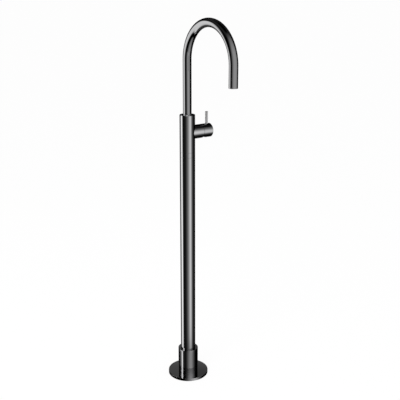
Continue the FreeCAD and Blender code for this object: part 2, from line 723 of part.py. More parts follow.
def knob_relief():
    """Wedge cut off the knob's lower rear edge, so that the neck stays clear when the knob tilts down."""
    slope = KNOB_RELIEF_H / KNOB_RELIEF_L
    low = valve_z - valve_r - slope * OVERRUN
    high = valve_z - valve_r + KNOB_RELIEF_H + slope * OVERRUN
    near = knob_start - OVERRUN
    far = knob_start + KNOB_RELIEF_L + OVERRUN
    half_w = valve_r + OVERRUN
    corners = [Vector(near, -half_w, low), Vector(near, -half_w, high), Vector(far, -half_w, low)]
    wedge = Part.Face(Part.makePolygon(corners + corners[:1]))
    return wedge.extrude(SIDEWAYS * (2 * half_w))


def make_lever_rod():
    seat_z = valve_z + valve_r - LEVER_SOCKET
    top = valve_z + valve_r + LEVER_EXPOSED
    rod = upright(LEVER_D / 2, seat_z, top, lever_x, 0)
    rod = rod.makeFillet(LEVER_ROUND, edges_at(rod, LEVER_D / 2, height=top))
    return rod.fuse(upright(LEVER_STUD_D / 2, seat_z - LEVER_STUD_L, seat_z, lever_x, 0))


def make_knob_grub_screw():
    """Screw from below the knob that bears on the stem's square."""
    top = valve_z - stem_half
    bottom = top - KNOB_SCREW_L
    screw = upright(KNOB_SCREW_D / 2, bottom, top, lever_x, 0)
    return screw.cut(hexagon(KNOB_SCREW_KEY, Vector(lever_x, 0, bottom), UP, KNOB_SCREW_KEY))


# Spout

def bent_tube(radius):
    """A round bar along the gooseneck's path: up, over in a half circle towards -Y, and down."""
    over = Part.makeTorus(BEND_R, radius, Vector(0, -BEND_R, bend_z), OUTWARD)
    reach = BEND_R + radius + OVERRUN
    upper_half = block((-radius - OVERRUN, radius + OVERRUN), (-BEND_R - reach, reach - BEND_R),
                       (bend_z, bend_z + reach))
    over = over.common(upper_half)
    return over, upright(radius, spout_bottom, bend_z), upright(radius, outlet_z, bend_z, 0, -2 * BEND_R)


def make_gooseneck():
    over, riser, fall = bent_tube(spout_r)
    outer = riser.fuse([over, fall]).removeSplitter()
    outer = outer.makeFillet(SPOUT_ROUND, edges_at(outer, spout_r, height=outlet_z))
    over, riser, fall = bent_tube(spout_bore_r)
    inner = riser.fuse([over, fall]).removeSplitter()
    return outer.cut(inner)


def make_spout_spigot():
    """Hollow spigot soldered into the spout; it turns in the body and has the stop's groove."""
    plug_top = spout_bottom + SPIGOT_PLUG_L
    spigot = upright(spigot_r, spigot_bottom, spout_bottom)
    spigot = spigot.fuse(upright(spout_bore_r - SQUASH_GAP, spout_bottom, plug_top))
    spigot = spigot.cut(upright(SPIGOT_BORE_D / 2, spigot_bottom - OVERRUN, plug_top + OVERRUN))
    for height in seal_heights():
        half = SPIGOT_SEAL_T / 2 + SQUASH_GAP
        floor_r = spigot_r - SPIGOT_SEAL_T - SQUASH_GAP
        spigot = spigot.cut(upright_ring(spigot_r + OVERRUN, floor_r, height - half, height + half))
    return spigot.cut(stop_groove())


def stop_groove():
    """Groove at the back of the spigot, long enough for the stop screw over the spout's whole swing."""
    half = STOP_POINT_D / 2 + MOVE_GAP
    floor_r = spigot_r - STOP_POINT_L - MOVE_GAP
    spare = math.degrees(math.asin(half / floor_r))
    sweep = 2 * (SWIVEL_MAX + spare)
    wide = Part.makeCylinder(spigot_r + OVERRUN, 2 * half, Vector(0, 0, stop_z - half), UP, sweep)
    wide.rotate(Vector(0, 0, 0), UP, 90 - sweep / 2)
    return wide.cut(upright(floor_r, stop_z - half - OVERRUN, stop_z + half + OVERRUN))


def seal_heights():
    first = body_top - SPIGOT_SEAL_BELOW_TOP
    return [first - SPIGOT_SEAL_PITCH * step for step in range(SPIGOT_SEAL_COUNT)]


def make_spigot_o_rings():
    centre_r = spigot_r - SPIGOT_SEAL_T / 2
    return group([seal_ring(SPIGOT_SEAL_T, centre_r, height) for height in seal_heights()])


def make_glide_ring():
    top = body_top + GLIDE_PROUD
    return upright_ring(spout_r - GLIDE_INSET, spigot_r + RUN_GAP, top - GLIDE_T, top)


def make_spout_stop_screw():
    """Grub screw at the body's back, with a plain point that stands in the spigot's groove."""
    shoulder = spigot_r + RUN_GAP + SEAT_GAP
    head = column_r - STOP_SCREW_INSET
    screw = Part.makeCylinder(STOP_SCREW_D / 2, head - shoulder, Vector(0, shoulder, stop_z), SIDEWAYS)
    point = Part.makeCylinder(STOP_POINT_D / 2, STOP_POINT_L + shoulder - spigot_r,
                              Vector(0, spigot_r - STOP_POINT_L, stop_z), SIDEWAYS)
    key = hexagon(STOP_SCREW_KEY, Vector(0, head - STOP_SCREW_KEY, stop_z), SIDEWAYS, STOP_SCREW_KEY)
    return screw.fuse(point).cut(key)


# Aerator

def make_aerator_housing():
    top = aerator_bottom + AERATOR_L
    return upright_ring(aerator_r, aerator_bore_r, aerator_bottom, top, 0, -2 * BEND_R)


def make_aerator_insert():
    """Plug of parallel holes on a triangular grid, which evens out the stream."""
    bottom = aerator_bottom + AERATOR_RECESS
    top = bottom + AERATOR_INSERT_L
    insert = upright(aerator_bore_r - SQUASH_GAP, bottom, top, 0, -2 * BEND_R)
    rows = int(aerator_bore_r // AERATOR_HOLE_PITCH)
    row_pitch = AERATOR_HOLE_PITCH * math.sin(math.pi / 3)
    holes = []
    for row in range(-rows, rows + 1):
        for column in range(-2 * rows, 2 * rows + 1):
            x = (column + (row % 2) / 2) * AERATOR_HOLE_PITCH
            y = row * row_pitch
            if math.hypot(x, y) + AERATOR_HOLE_D / 2 + SEAT_GAP < aerator_bore_r - SQUASH_GAP:
                holes.append(upright(AERATOR_HOLE_D / 2, bottom - OVERRUN, top + OVERRUN, x, y - 2 * BEND_R))
    return insert.cut(holes)


def make_aerator_seal():
    bottom = aerator_bottom + AERATOR_L
    return upright_ring(aerator_r, aerator_bore_r, bottom, bottom + AERATOR_SEAL_T, 0, -2 * BEND_R)


MAKERS = {
    "base_gasket": make_base_gasket,
    "base_plate": make_base_plate,
    "foot_screws": make_foot_screws,
    "column_foot": make_column_foot,
    "column_grub_screws": make_column_grub_screws,
    "floor_flange": make_floor_flange,
    "collar": make_collar,
    "collar_o_ring": make_collar_o_ring,
    "column_tube": make_column_tube,
    "hot_inlet": lambda: make_inlet(-PIPE_SPREAD),
    "cold_inlet": lambda: make_inlet(PIPE_SPREAD),
    "hot_riser": lambda: make_riser(-PIPE_SPREAD),
    "cold_riser": lambda: make_riser(PIPE_SPREAD),
    "riser_nuts": make_riser_nuts,
    "riser_olives": make_riser_olives,
    "joint_ring": make_joint_ring,
    "joint_o_ring": make_joint_o_ring,
    "mixer_body": make_mixer_body,
    "cartridge_base": make_cartridge_base,
    "port_seals": make_port_seals,
    "fixed_disc": make_fixed_disc,
    "moving_disc": make_moving_disc,
    "disc_slider": make_disc_slider,
    "cartridge_rotor": make_cartridge_rotor,
    "pivot_pin": make_pivot_pin,
    "stem": make_stem,
    "cartridge_housing": make_cartridge_housing,
    "cartridge_nut": make_cartridge_nut,
    "dome_cover": make_dome_cover,
    "knob": make_knob,
    "lever_rod": make_lever_rod,
    "knob_grub_screw": make_knob_grub_screw,
    "gooseneck": make_gooseneck,
    "spout_spigot": make_spout_spigot,
    "spigot_o_rings": make_spigot_o_rings,
    "glide_ring": make_glide_ring,
    "spout_stop_screw": make_spout_stop_screw,
    "aerator_housing": make_aerator_housing,
    "aerator_insert": make_aerator_insert,
    "aerator_seal": make_aerator_seal,
}

os.makedirs("parts", exist_ok=True)
for name, make in MAKERS.items():
    piece = make()
    piece.exportStep(f"parts/{name}.step")
    state = "valid" if piece.isValid() else "NOT VALID"
    print(f"{name}: {len(piece.Solids)} solid, {piece.Volume / 1000:.2f} cm3, {state}")
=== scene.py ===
"""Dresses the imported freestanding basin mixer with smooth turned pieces, finishes and a photo studio."""

import json
import logging
import math
from contextlib import contextmanager
from dataclasses import dataclass, field
from enum import Enum
from typing import Callable, Iterator, Sequence, Union

import bmesh
import bpy
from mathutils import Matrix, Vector

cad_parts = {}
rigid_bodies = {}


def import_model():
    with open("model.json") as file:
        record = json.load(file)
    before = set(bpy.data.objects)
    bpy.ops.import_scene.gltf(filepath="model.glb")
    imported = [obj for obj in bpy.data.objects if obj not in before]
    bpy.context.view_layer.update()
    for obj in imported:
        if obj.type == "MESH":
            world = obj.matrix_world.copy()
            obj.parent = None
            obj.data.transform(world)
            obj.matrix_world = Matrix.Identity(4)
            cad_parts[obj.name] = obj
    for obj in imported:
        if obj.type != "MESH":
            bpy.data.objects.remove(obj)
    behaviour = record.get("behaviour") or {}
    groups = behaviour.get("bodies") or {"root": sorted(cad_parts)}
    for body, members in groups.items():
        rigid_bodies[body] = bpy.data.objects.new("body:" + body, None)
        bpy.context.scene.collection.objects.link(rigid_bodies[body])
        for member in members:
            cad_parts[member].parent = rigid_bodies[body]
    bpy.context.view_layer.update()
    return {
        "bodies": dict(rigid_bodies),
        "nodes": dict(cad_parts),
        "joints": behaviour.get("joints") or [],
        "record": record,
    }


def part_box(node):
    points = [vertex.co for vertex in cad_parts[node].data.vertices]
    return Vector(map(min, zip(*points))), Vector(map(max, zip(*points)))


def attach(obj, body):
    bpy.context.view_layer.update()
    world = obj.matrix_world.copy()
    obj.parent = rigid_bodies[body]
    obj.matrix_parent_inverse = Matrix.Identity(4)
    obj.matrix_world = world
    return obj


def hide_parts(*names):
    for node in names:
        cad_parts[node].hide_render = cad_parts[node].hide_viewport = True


LOG = logging.getLogger("basin_mixer")

MM = 0.001
# Corners this close lie on one rim, and corners closer than the second value are one
NEAR = 0.002 * MM
MERGED = 0.0005 * MM
# How far a cutter reaches past the surface that it opens
OVERRUN = 1.0 * MM
# Distance from a rounded rim to the next station, as a share of the round
BESIDE_ROUND = 1.3
# Edges up to this angle are shaded smooth
SMOOTH_UP_TO = math.radians(30.0)
# Noise lies about evenly on both sides of this value
NOISE_MIDDLE = 0.5

Colour = tuple[float, float, float]
# Places and levels, in order
Steps = tuple[tuple[float, float], ...]


# Shader maths


class Wire:
    """A shader socket that takes part in Python arithmetic."""

    def __init__(self, sheet: "Sheet", socket: bpy.types.NodeSocket) -> None:
        """Keeps the socket and the sheet that its nodes go on."""
        self.sheet = sheet
        self.socket = socket

    def __add__(self, other: "Value") -> "Wire":
        """Sum."""
        return self.sheet.maths("ADD", self, other)

    def __radd__(self, other: "Value") -> "Wire":
        """Sum with a number on the left."""
        return self.sheet.maths("ADD", other, self)

    def __sub__(self, other: "Value") -> "Wire":
        """Difference."""
        return self.sheet.maths("SUBTRACT", self, other)

    def __rsub__(self, other: "Value") -> "Wire":
        """Difference from a number, such as 1 - mask."""
        return self.sheet.maths("SUBTRACT", other, self)

    def __mul__(self, other: "Value") -> "Wire":
        """Product."""
        return self.sheet.maths("MULTIPLY", self, other)

    def __rmul__(self, other: "Value") -> "Wire":
        """Product with a number on the left."""
        return self.sheet.maths("MULTIPLY", other, self)

    def __truediv__(self, other: "Value") -> "Wire":
        """Quotient."""
        return self.sheet.maths("DIVIDE", self, other)

    def __rtruediv__(self, other: "Value") -> "Wire":
        """Quotient of a number by the wire."""
        return self.sheet.maths("DIVIDE", other, self)


Value = Union[Wire, float]


@dataclass(frozen=True)
class Noise:
    """A noise pattern, and the span of it that is stretched to 0..1, where it has one."""

    scale: float
    detail: float = 2.0
    roughness: float = 0.5
    span: tuple[float, float] | None = None


class Sheet:
    """One node tree, with short ways to put nodes on it."""

    # A Mix node's sockets for colours: the factor, the two colours and the result
    colour_inputs: tuple[int, int, int] = (0, 6, 7)
    colour_output: int = 2

    def __init__(self, tree: bpy.types.NodeTree) -> None:
        """Starts with an empty tree."""
        self.tree = tree
        self.tree.nodes.clear()

    def node(self, kind: str, settings: dict | None = None, values: dict | None = None) -> bpy.types.Node:
        """Adds a node.

        Args:
            kind: The node's type.
            settings: Its own settings, set first. A ramp's stops are given as (place, colour) pairs.
            values: Numbers, colours or wires for its input sockets, by name or number.

        Returns:
            The node.
        """
        made = self.tree.nodes.new(kind)
        for name, setting in (settings or {}).items():
            if name == "stops":
                self._fill_ramp(made.color_ramp, setting)
            else:
                setattr(made, name, setting)
        for key, value in (values or {}).items():
            self._feed(made.inputs[key], value)
        return made

    def _fill_ramp(self, ramp: bpy.types.ColorRamp, stops: Sequence[tuple[float, Colour]]) -> None:
        """Gives a ramp its stops.

        Args:
            ramp: A new ramp.
            stops: Places and colours, in order.
        """
        while len(ramp.elements) < len(stops):
            ramp.elements.new(1.0)
        for element, (place, colour) in zip(ramp.elements, stops):
            element.position = place
            element.color = (*colour, 1.0)

    def _feed(self, socket: bpy.types.NodeSocket, value: object) -> None:
        """Links a wire to a socket, or sets the socket's own value.

        Args:
            socket: An input socket.
            value: A wire, number, vector or colour.
        """
        if isinstance(value, Wire):
            self.tree.links.new(value.socket, socket)
        elif isinstance(value, tuple) and socket.type == "RGBA":
            socket.default_value = (*value, 1.0)
        else:
            socket.default_value = value

    def wire(self, kind: str, output: str | int = 0, settings: dict | None = None,
             values: dict | None = None) -> Wire:
        """Adds a node and returns one of its outputs as a wire."""
        return Wire(self, self.node(kind, settings, values).outputs[output])

    def maths(self, operation: str, *values: Value) -> Wire:
        """Adds a Math node for numbers and wires."""
        return self.wire("ShaderNodeMath", 0, {"operation": operation}, dict(enumerate(values)))

    def place(self) -> Wire:
        """Object coordinates."""
        return self.wire("ShaderNodeTexCoord", "Object")

    def axes(self) -> tuple[Wire, Wire, Wire]:
        """Object coordinates, as their X, Y and Z."""
        split = self.node("ShaderNodeSeparateXYZ", None, {0: self.place()})
        return tuple(Wire(self, output) for output in split.outputs)

    def stretched(self, vector: Wire, scale: Vector) -> Wire:
        """A vector scaled by its axes, for a grain that runs one way."""
        return self.wire("ShaderNodeVectorMath", 0, {"operation": "MULTIPLY"}, {0: vector, 1: tuple(scale)})

    def noise(self, vector: Wire, pattern: Noise) -> Wire:
        """Adds a noise pattern.

        Args:
            vector: The coordinates that the pattern is read at.
            pattern: Its size and fineness, and the span of it that counts.

        Returns:
            A value between 0 and 1, smoothly stretched where the pattern has a span.
        """
        inputs = {"Vector": vector, "Scale": pattern.scale, "Detail": pattern.detail,
                  "Roughness": pattern.roughness}
        value = self.wire("ShaderNodeTexNoise", 0, {"noise_dimensions": "3D"}, inputs)
        if pattern.span is None:
            return value
        low, high = pattern.span
        return self.wire("ShaderNodeMapRange", 0, {"interpolation_type": "SMOOTHSTEP"},
                         {"Value": value, "From Min": low, "From Max": high})

    def blend(self, factor: Wire, first: Colour, second: Colour) -> Wire:
        """Mixes two colours."""
        values = dict(zip(self.colour_inputs, (factor, first, second)))
        return self.wire("ShaderNodeMix", self.colour_output, {"data_type": "RGBA"}, values)

    def bump(self, height: Wire, distance: float, strength: float = 1.0) -> Wire:
        """A normal from a height, whose full step is the distance in metres."""
        values = {"Height": height, "Distance": distance, "Strength": strength}
        return self.wire("ShaderNodeBump", 0, None, values)

    def glow(self, light: Value) -> Wire:
        """A white glow of some brightness."""
        return self.wire("ShaderNodeEmission", 0, None, {"Color": (1.0, 1.0, 1.0), "Strength": light})

    def surface(self, shader: Wire, output: str = "ShaderNodeOutputMaterial") -> None:
        """Ends the tree in its output."""
        self.node(output, None, {"Surface": shader})


# Finishes


class Grain(Enum):
    """How a tool left its fine lines, as the scale of the noise along X, Y and Z."""

    TURNED = Vector((25.0, 25.0, 1500.0))
    TURNED_ON_X = Vector((1500.0, 25.0, 25.0))
    DRAWN = Vector((700.0, 700.0, 8.0))
    EVEN = Vector((600.0, 600.0, 600.0))


class Slot(Enum):
    """The record's material slots."""

    DARK_CHROME = "dark_chrome"
    LEVER_STEEL = "lever_steel"
    ZINC_STEEL = "zinc_steel"
    STAINLESS = "stainless"
    RAW_BRASS = "raw_brass"
    COPPER = "copper"
    BLACK_RUBBER = "black_rubber"
    WHITE_CERAMIC = "white_ceramic"
    GREY_PLASTIC = "grey_plastic"
    AERATOR_METAL = "aerator_metal"
    AERATOR_PLASTIC = "aerator_plastic"


@dataclass(frozen=True)
class Finish:
    """A named surface finish; each kind writes its own shader."""

    name: str
    colour: Colour
    roughness: float

    def make(self) -> bpy.types.Material:
        """Makes the material.

        Returns:
            The new material.
        """
        material = bpy.data.materials.new(self.name)
        material.use_nodes = True
        sheet = Sheet(material.node_tree)
        sheet.surface(sheet.wire("ShaderNodeBsdfPrincipled", 0, None, self.inputs(sheet)))
        return material

    def inputs(self, sheet: Sheet) -> dict[str, object]:
        """The values and wires of the shader's sockets."""
        raise NotImplementedError

    def shade(self, factor: float) -> Colour:
        """The finish's colour, lighter or darker."""
        return tuple(min(1.0, channel * factor) for channel in self.colour)


@dataclass(frozen=True)
class PolishedPlating(Finish):
    """Mirror-bright dark plating with faint wipe marks and a trace of polishing haze."""

    haze: float = 0.035
    hairline_share: float = 0.5
    tint: float = 1.06
    ripple_depth: float = 0.004 * MM
    wipes: Noise = Noise(26.0, detail=3.0, roughness=0.6, span=(0.45, 0.75))
    hairlines: Noise = Noise(1.0, span=(0.6, 0.8))
    drift: Noise = Noise(6.0, detail=1.0)
    ripple: Noise = Noise(90.0, detail=1.0)

    def inputs(self, sheet: Sheet) -> dict[str, object]:
        """Lays wipe marks and hairlines on the roughness, and a slow drift on the colour.

        Args:
            sheet: The material's node tree.

        Returns:
            The values and wires of the shader's sockets.
        """
        place = sheet.place()
        wiped = sheet.noise(place, self.wipes)
        hairline = sheet.noise(sheet.stretched(place, Grain.TURNED.value), self.hairlines)
        drift = sheet.noise(place, self.drift)
        ripple = sheet.noise(place, self.ripple)
        return {
            "Base Color": sheet.blend(drift, self.shade(1 / self.tint), self.shade(self.tint)),
            "Metallic": 1.0,
            "Roughness": self.roughness + self.haze * wiped + self.haze * self.hairline_share * hairline,
            "Normal": sheet.bump(ripple, self.ripple_depth),
        }


@dataclass(frozen=True)
class WorkedMetal(Finish):
    """Bare or plated metal with the fine lines of its tool and a little tarnish."""

    grain: Grain
    tarnish: Colour
    tarnished: float = 0.25
    line_depth: float = 0.01 * MM
    line_strength: float = 0.6
    smoothest: float = 0.8
    line_roughness: float = 0.4
    dulled: float = 0.15
    lines: Noise = Noise(1.0, detail=3.0, roughness=0.7)
    clouds: Noise = Noise(40.0, detail=4.0, roughness=0.6, span=(0.4, 0.8))

    def inputs(self, sheet: Sheet) -> dict[str, object]:
        """Runs the tool's lines along the grain, under clouds of tarnish.

        Args:
            sheet: The material's node tree.

        Returns:
            The values and wires of the shader's sockets.
        """
        place = sheet.place()
        lines = sheet.noise(sheet.stretched(place, self.grain.value), self.lines)
        aged = sheet.noise(place, self.clouds) * self.tarnished
        ground = self.roughness * self.smoothest
        return {
            "Base Color": sheet.blend(aged, self.colour, self.tarnish),
            "Metallic": 1.0,
            "Roughness": ground + self.roughness * self.line_roughness * lines + aged * self.dulled,
            "Normal": sheet.bump(lines, self.line_depth, self.line_strength),
        }


@dataclass(frozen=True)
class Moulded(Finish):
    """Rubber or plastic from a mould, with a fine even texture."""

    texture: Noise = Noise(900.0)
    texture_depth: float = 0.03 * MM
    texture_roughness: float = 0.12
    chalk: float = 0.1
    clouds: Noise = Noise(60.0, detail=3.0)

    def inputs(self, sheet: Sheet) -> dict[str, object]:
        """Spreads the mould's texture evenly, with faint clouds in the colour.

        Args:
            sheet: The material's node tree.

        Returns:
            The values and wires of the shader's sockets.
        """
        place = sheet.place()
        pores = sheet.noise(place, self.texture)
        clouds = sheet.noise(place, self.clouds)
        return {
            "Base Color": sheet.blend(clouds, self.shade(1 - self.chalk), self.shade(1 + self.chalk)),
            "Roughness": self.roughness + self.texture_roughness * (pores - NOISE_MIDDLE),
            "Normal": sheet.bump(pores, self.texture_depth),
        }


@dataclass(frozen=True)
class Ceramic(Finish):
    """Lapped ceramic: dense, pale and faintly cloudy under a smooth face."""

    cloud_shade: float = 0.96
    lap_roughness: float = 0.08
    lap_depth: float = 0.002 * MM
    gleam: float = 0.3
    clouds: Noise = Noise(120.0, detail=4.0)
    lapping: Noise = Noise(2500.0, detail=1.0)

    def inputs(self, sheet: Sheet) -> dict[str, object]:
        """Clouds the colour and roughens the face with the marks of lapping.

        Args:
            sheet: The material's node tree.

        Returns:
            The values and wires of the shader's sockets.
        """
        place = sheet.place()
        clouds = sheet.noise(place, self.clouds)
        lapped = sheet.noise(place, self.lapping)
        return {
            "Base Color": sheet.blend(clouds, self.shade(self.cloud_shade), self.colour),
            "Roughness": self.roughness + self.lap_roughness * lapped,
            "Normal": sheet.bump(lapped, self.lap_depth),
            "Coat Weight": self.gleam * clouds,
        }


FINISHES: dict[Slot, Finish] = {
    Slot.DARK_CHROME: PolishedPlating("gunmetal_mirror", (0.45, 0.45, 0.455), 0.03),
    Slot.LEVER_STEEL: WorkedMetal("satin_lever", (0.63, 0.63, 0.635), 0.3, Grain.TURNED, (0.54, 0.54, 0.54)),
    Slot.ZINC_STEEL: WorkedMetal("zinc_plated_steel", (0.55, 0.56, 0.57), 0.38, Grain.EVEN, (0.42, 0.43, 0.4),
                                 tarnished=0.5),
    Slot.STAINLESS: WorkedMetal("turned_stainless", (0.6, 0.6, 0.61), 0.28, Grain.TURNED_ON_X,
                                (0.5, 0.5, 0.5)),
    Slot.RAW_BRASS: WorkedMetal("machined_brass", (0.72, 0.55, 0.28), 0.3, Grain.TURNED, (0.45, 0.31, 0.14),
                                tarnished=0.6),
    Slot.COPPER: WorkedMetal("drawn_copper", (0.72, 0.38, 0.25), 0.3, Grain.DRAWN, (0.4, 0.18, 0.1),
                             tarnished=0.6),
    Slot.BLACK_RUBBER: Moulded("seal_rubber", (0.03, 0.03, 0.03), 0.75),
    Slot.WHITE_CERAMIC: Ceramic("lapped_ceramic", (0.9, 0.89, 0.86), 0.18),
    Slot.GREY_PLASTIC: Moulded("acetal_plastic", (0.62, 0.63, 0.64), 0.45, texture=Noise(1400.0),
                               texture_depth=0.01 * MM, chalk=0.04),
    Slot.AERATOR_METAL: WorkedMetal("aerator_plating", (0.34, 0.34, 0.345), 0.18, Grain.TURNED,
                                    (0.25, 0.25, 0.25)),
    Slot.AERATOR_PLASTIC: Moulded("aerator_plastic", (0.2, 0.2, 0.21), 0.5, texture=Noise(1400.0),
                                  texture_depth=0.01 * MM, chalk=0.06),
}


class Palette:
    """The materials of the record's slots, each made once."""

    def __init__(self) -> None:
        """Starts with nothing made."""
        self.made: dict[Slot, bpy.types.Material] = {}

    def material(self, slot: Slot) -> bpy.types.Material:
        """Looks up the material of one slot, and makes it the first time.

        Args:
            slot: The record's material slot.

        Returns:
            The material.
        """
        if slot not in self.made:
            self.made[slot] = FINISHES[slot].make()
        return self.made[slot]

    def dress(self, piece: bpy.types.Object, slot: Slot) -> None:
        """Gives a piece the finish of a slot all over."""
        piece.data.materials.clear()
        piece.data.materials.append(self.material(slot))

    def dress_solids(self, frame: dict) -> None:
        """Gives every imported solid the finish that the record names."""
        for part in frame["record"]["subparts"]:
            self.dress(frame["nodes"][part["node"]], Slot(part["material_slot"]))


# Modelling bench


@dataclass(frozen=True)
class Ring:
    """One station of a turned profile: a circle, and how its edge is broken."""

    radius: float
    height: float
    edge: float = 0.0
    steps: int = 1


def middle_height(node: str) -> float:
    """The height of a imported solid's middle."""
    return sum(corner.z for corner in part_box(node)) / 2


def put_down() -> None:
    """Leaves edit mode with nothing selected."""
    if bpy.context.mode != "OBJECT":
        bpy.ops.object.mode_set(mode="OBJECT")
    bpy.ops.object.select_all(action="DESELECT")


def pick_up(piece: bpy.types.Object) -> None:
    """Makes one piece the only selected one, and active.

    Args:
        piece: The piece to work on next.
    """
    put_down()
    piece.select_set(True)
    bpy.context.view_layer.objects.active = piece


@contextmanager
def editing(piece: bpy.types.Object, whole: bool = False) -> Iterator[None]:
    """Holds a piece in edit mode, with its edges to be picked.

    Args:
        piece: The piece to edit.
        whole: True to start with the whole mesh selected, False with nothing.
    """
    pick_up(piece)
    bpy.ops.object.mode_set(mode="EDIT")
    bpy.ops.mesh.select_mode(type="EDGE")
    bpy.ops.mesh.select_all(action="SELECT" if whole else "DESELECT")
    yield
    bpy.ops.object.mode_set(mode="OBJECT")


def pick_edges(piece: bpy.types.Object, test: Callable[[Vector], bool]) -> None:
    """Selects edges of a piece in edit mode.

    Args:
        piece: The piece being edited.
        test: What both ends of an edge have to pass.
    """
    mesh = bmesh.from_edit_mesh(piece.data)
    for edge in mesh.edges:
        edge.select_set(all(test(corner.co) for corner in edge.verts))
    bmesh.update_edit_mesh(piece.data)


def settle(piece: bpy.types.Object) -> None:
    """Applies a piece's place, so that its object sits at the origin."""
    pick_up(piece)
    bpy.ops.object.transform_apply(location=True, rotation=True, scale=True)


def close_up(piece: bpy.types.Object) -> None:
    """Merges doubles, turns the faces outwards and shades all but the sharp edges smooth.

    Args:
        piece: The piece to close.
    """
    with editing(piece, whole=True):
        bpy.ops.mesh.remove_doubles(threshold=MERGED)
        bpy.ops.mesh.normals_make_consistent(inside=False)
    pick_up(piece)
    bpy.ops.object.shade_smooth_by_angle(angle=SMOOTH_UP_TO)


def apply_modifier(piece: bpy.types.Object, kind: str, **settings: object) -> None:
    """Puts a modifier on a piece and applies it.

    Args:
        piece: The piece to change.
        kind: The modifier's type.
        settings: The modifier's own settings.
    """
    pick_up(piece)
    modifier = piece.modifiers.new(kind.lower(), kind)
    for name, setting in settings.items():
        setattr(modifier, name, setting)
    bpy.ops.object.modifier_apply(modifier=modifier.name)


def start_circle(name: str, radius: float, height: float, sides: int) -> bpy.types.Object:
    """Draws the open circle that a turned or bent piece starts from.

    Args:
        name: The piece's name.
        radius: The circle's radius.
        height: Its height on the Z axis.
        sides: How many sides it has.

    Returns:
        The piece, at the origin.
    """
    put_down()
    bpy.ops.mesh.primitive_circle_add(vertices=sides, radius=radius, fill_type="NOTHING",
                                      location=(0.0, 0.0, height))
    piece = bpy.context.active_object
    piece.name = piece.data.name = name
    settle(piece)
    return piece


def extrude_up(rise: float) -> None:
    """Extrudes the selected edges along Z."""
    bpy.ops.mesh.extrude_edges_move(TRANSFORM_OT_translate={"value": (0.0, 0.0, rise)})


def turn(name: str, rings: Sequence[Ring], closed: bool, sides: int = 128) -> bpy.types.Object:
    """Turns a profile about the Z axis.

    Args:
        name: The piece's name.
        rings: The profile's stations in order, in metres.
        closed: True for a wall whose last station joins the first; False where both ends are faced off.
        sides: How many sides the circle has.

    Returns:
        The piece, at the origin.
    """
    first = rings[0]
    piece = start_circle(name, first.radius, first.height, sides)
    path = [*rings, first] if closed else list(rings)
    with editing(piece, whole=True):
        for last, ring in zip(path, path[1:]):
            extrude_up(ring.height - last.height)
            scale = ring.radius / last.radius
            bpy.ops.transform.resize(value=(scale, scale, 1.0), center_override=(0.0, 0.0, ring.height))
        bpy.ops.mesh.select_all(action="SELECT")
        bpy.ops.mesh.remove_doubles(threshold=MERGED)
        if not closed:
            bpy.ops.mesh.fill_holes(sides=0)
    for ring in rings:
        if ring.edge:
            break_edge(piece, ring)
    close_up(piece)
    return piece


def break_edge(piece: bpy.types.Object, ring: Ring, axis: tuple[float, float] = (0.0, 0.0),
               slack: float = NEAR) -> None:
    """Chamfers or rounds one of a piece's level rims.

    Args:
        piece: The piece.
        ring: The rim's station.
        axis: The place of the rim's middle, along X and Y.
        slack: How far the rim's corners may lie off its radius.
    """
    def on_rim(corner: Vector) -> bool:
        """True for a corner on the rim."""
        away = (corner.xy - Vector(axis)).length
        return abs(corner.z - ring.height) < NEAR and abs(away - ring.radius) < slack

    with editing(piece):
        pick_edges(piece, on_rim)
        bpy.ops.mesh.bevel(offset=ring.edge, segments=ring.steps, profile=0.5, affect="EDGES")


def lay_on_valve(piece: bpy.types.Object, start: float, height: float) -> None:
    """Lays a piece that was turned upright along the valve.

    Args:
        piece: The piece, turned about the Z axis.
        start: The station along X where its foot goes.
        height: The height of the valve's axis.
    """
    piece.rotation_euler = (0.0, math.pi / 2, 0.0)
    piece.location = (start, 0.0, height)
    settle(piece)


def bar(radius: float, start: Vector, end: Vector, sides: int = 64) -> bpy.types.Object:
    """Makes a round bar to carve with.

    Args:
        radius: The bar's radius.
        start: The middle of one end.
        end: The middle of the other.
        sides: How many sides it has.

    Returns:
        The bar.
    """
    put_down()
    run = end - start
    bpy.ops.mesh.primitive_cylinder_add(vertices=sides, radius=radius, depth=run.length,
                                        location=(start + end) / 2,
                                        rotation=run.to_track_quat("Z", "Y").to_euler())
    made = bpy.context.active_object
    settle(made)
    return made


def block(low: Vector, high: Vector) -> bpy.types.Object:
    """Makes a square-edged block to carve with.

    Args:
        low: Its lowest corner.
        high: Its highest corner.

    Returns:
        The block.
    """
    put_down()
    bpy.ops.mesh.primitive_cube_add(size=1.0, location=(low + high) / 2)
    made = bpy.context.active_object
    made.scale = high - low
    settle(made)
    return made


def carve(piece: bpy.types.Object, cutter: bpy.types.Object) -> None:
    """Cuts a shape out of a piece, and takes the shape away."""
    apply_modifier(piece, "BOOLEAN", operation="DIFFERENCE", solver="EXACT", object=cutter)
    bpy.data.objects.remove(cutter)


@dataclass
class Assembly:
    """A sub-assembly of the mixer that rides on one body."""

    palette: Palette
    body: str = "stand"
    pieces: list[bpy.types.Object] = field(default_factory=list)

    def finish(self, piece: bpy.types.Object, slot: Slot, *nodes: str) -> None:
        """Dresses a finished piece and puts it in the place of the solids that it stands for.

        Args:
            piece: The finished piece.
            slot: The record's material slot.
            nodes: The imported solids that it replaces.
        """
        self.palette.dress(piece, slot)
        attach(piece, self.body)
        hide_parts(*nodes)
        self.pieces.append(piece)
        LOG.info("%s: %d faces, stands for %s", piece.name, len(piece.data.polygons), ", ".join(nodes))

    def build(self) -> None:
        """Makes every piece of the sub-assembly."""
        raise NotImplementedError


# Foot and column


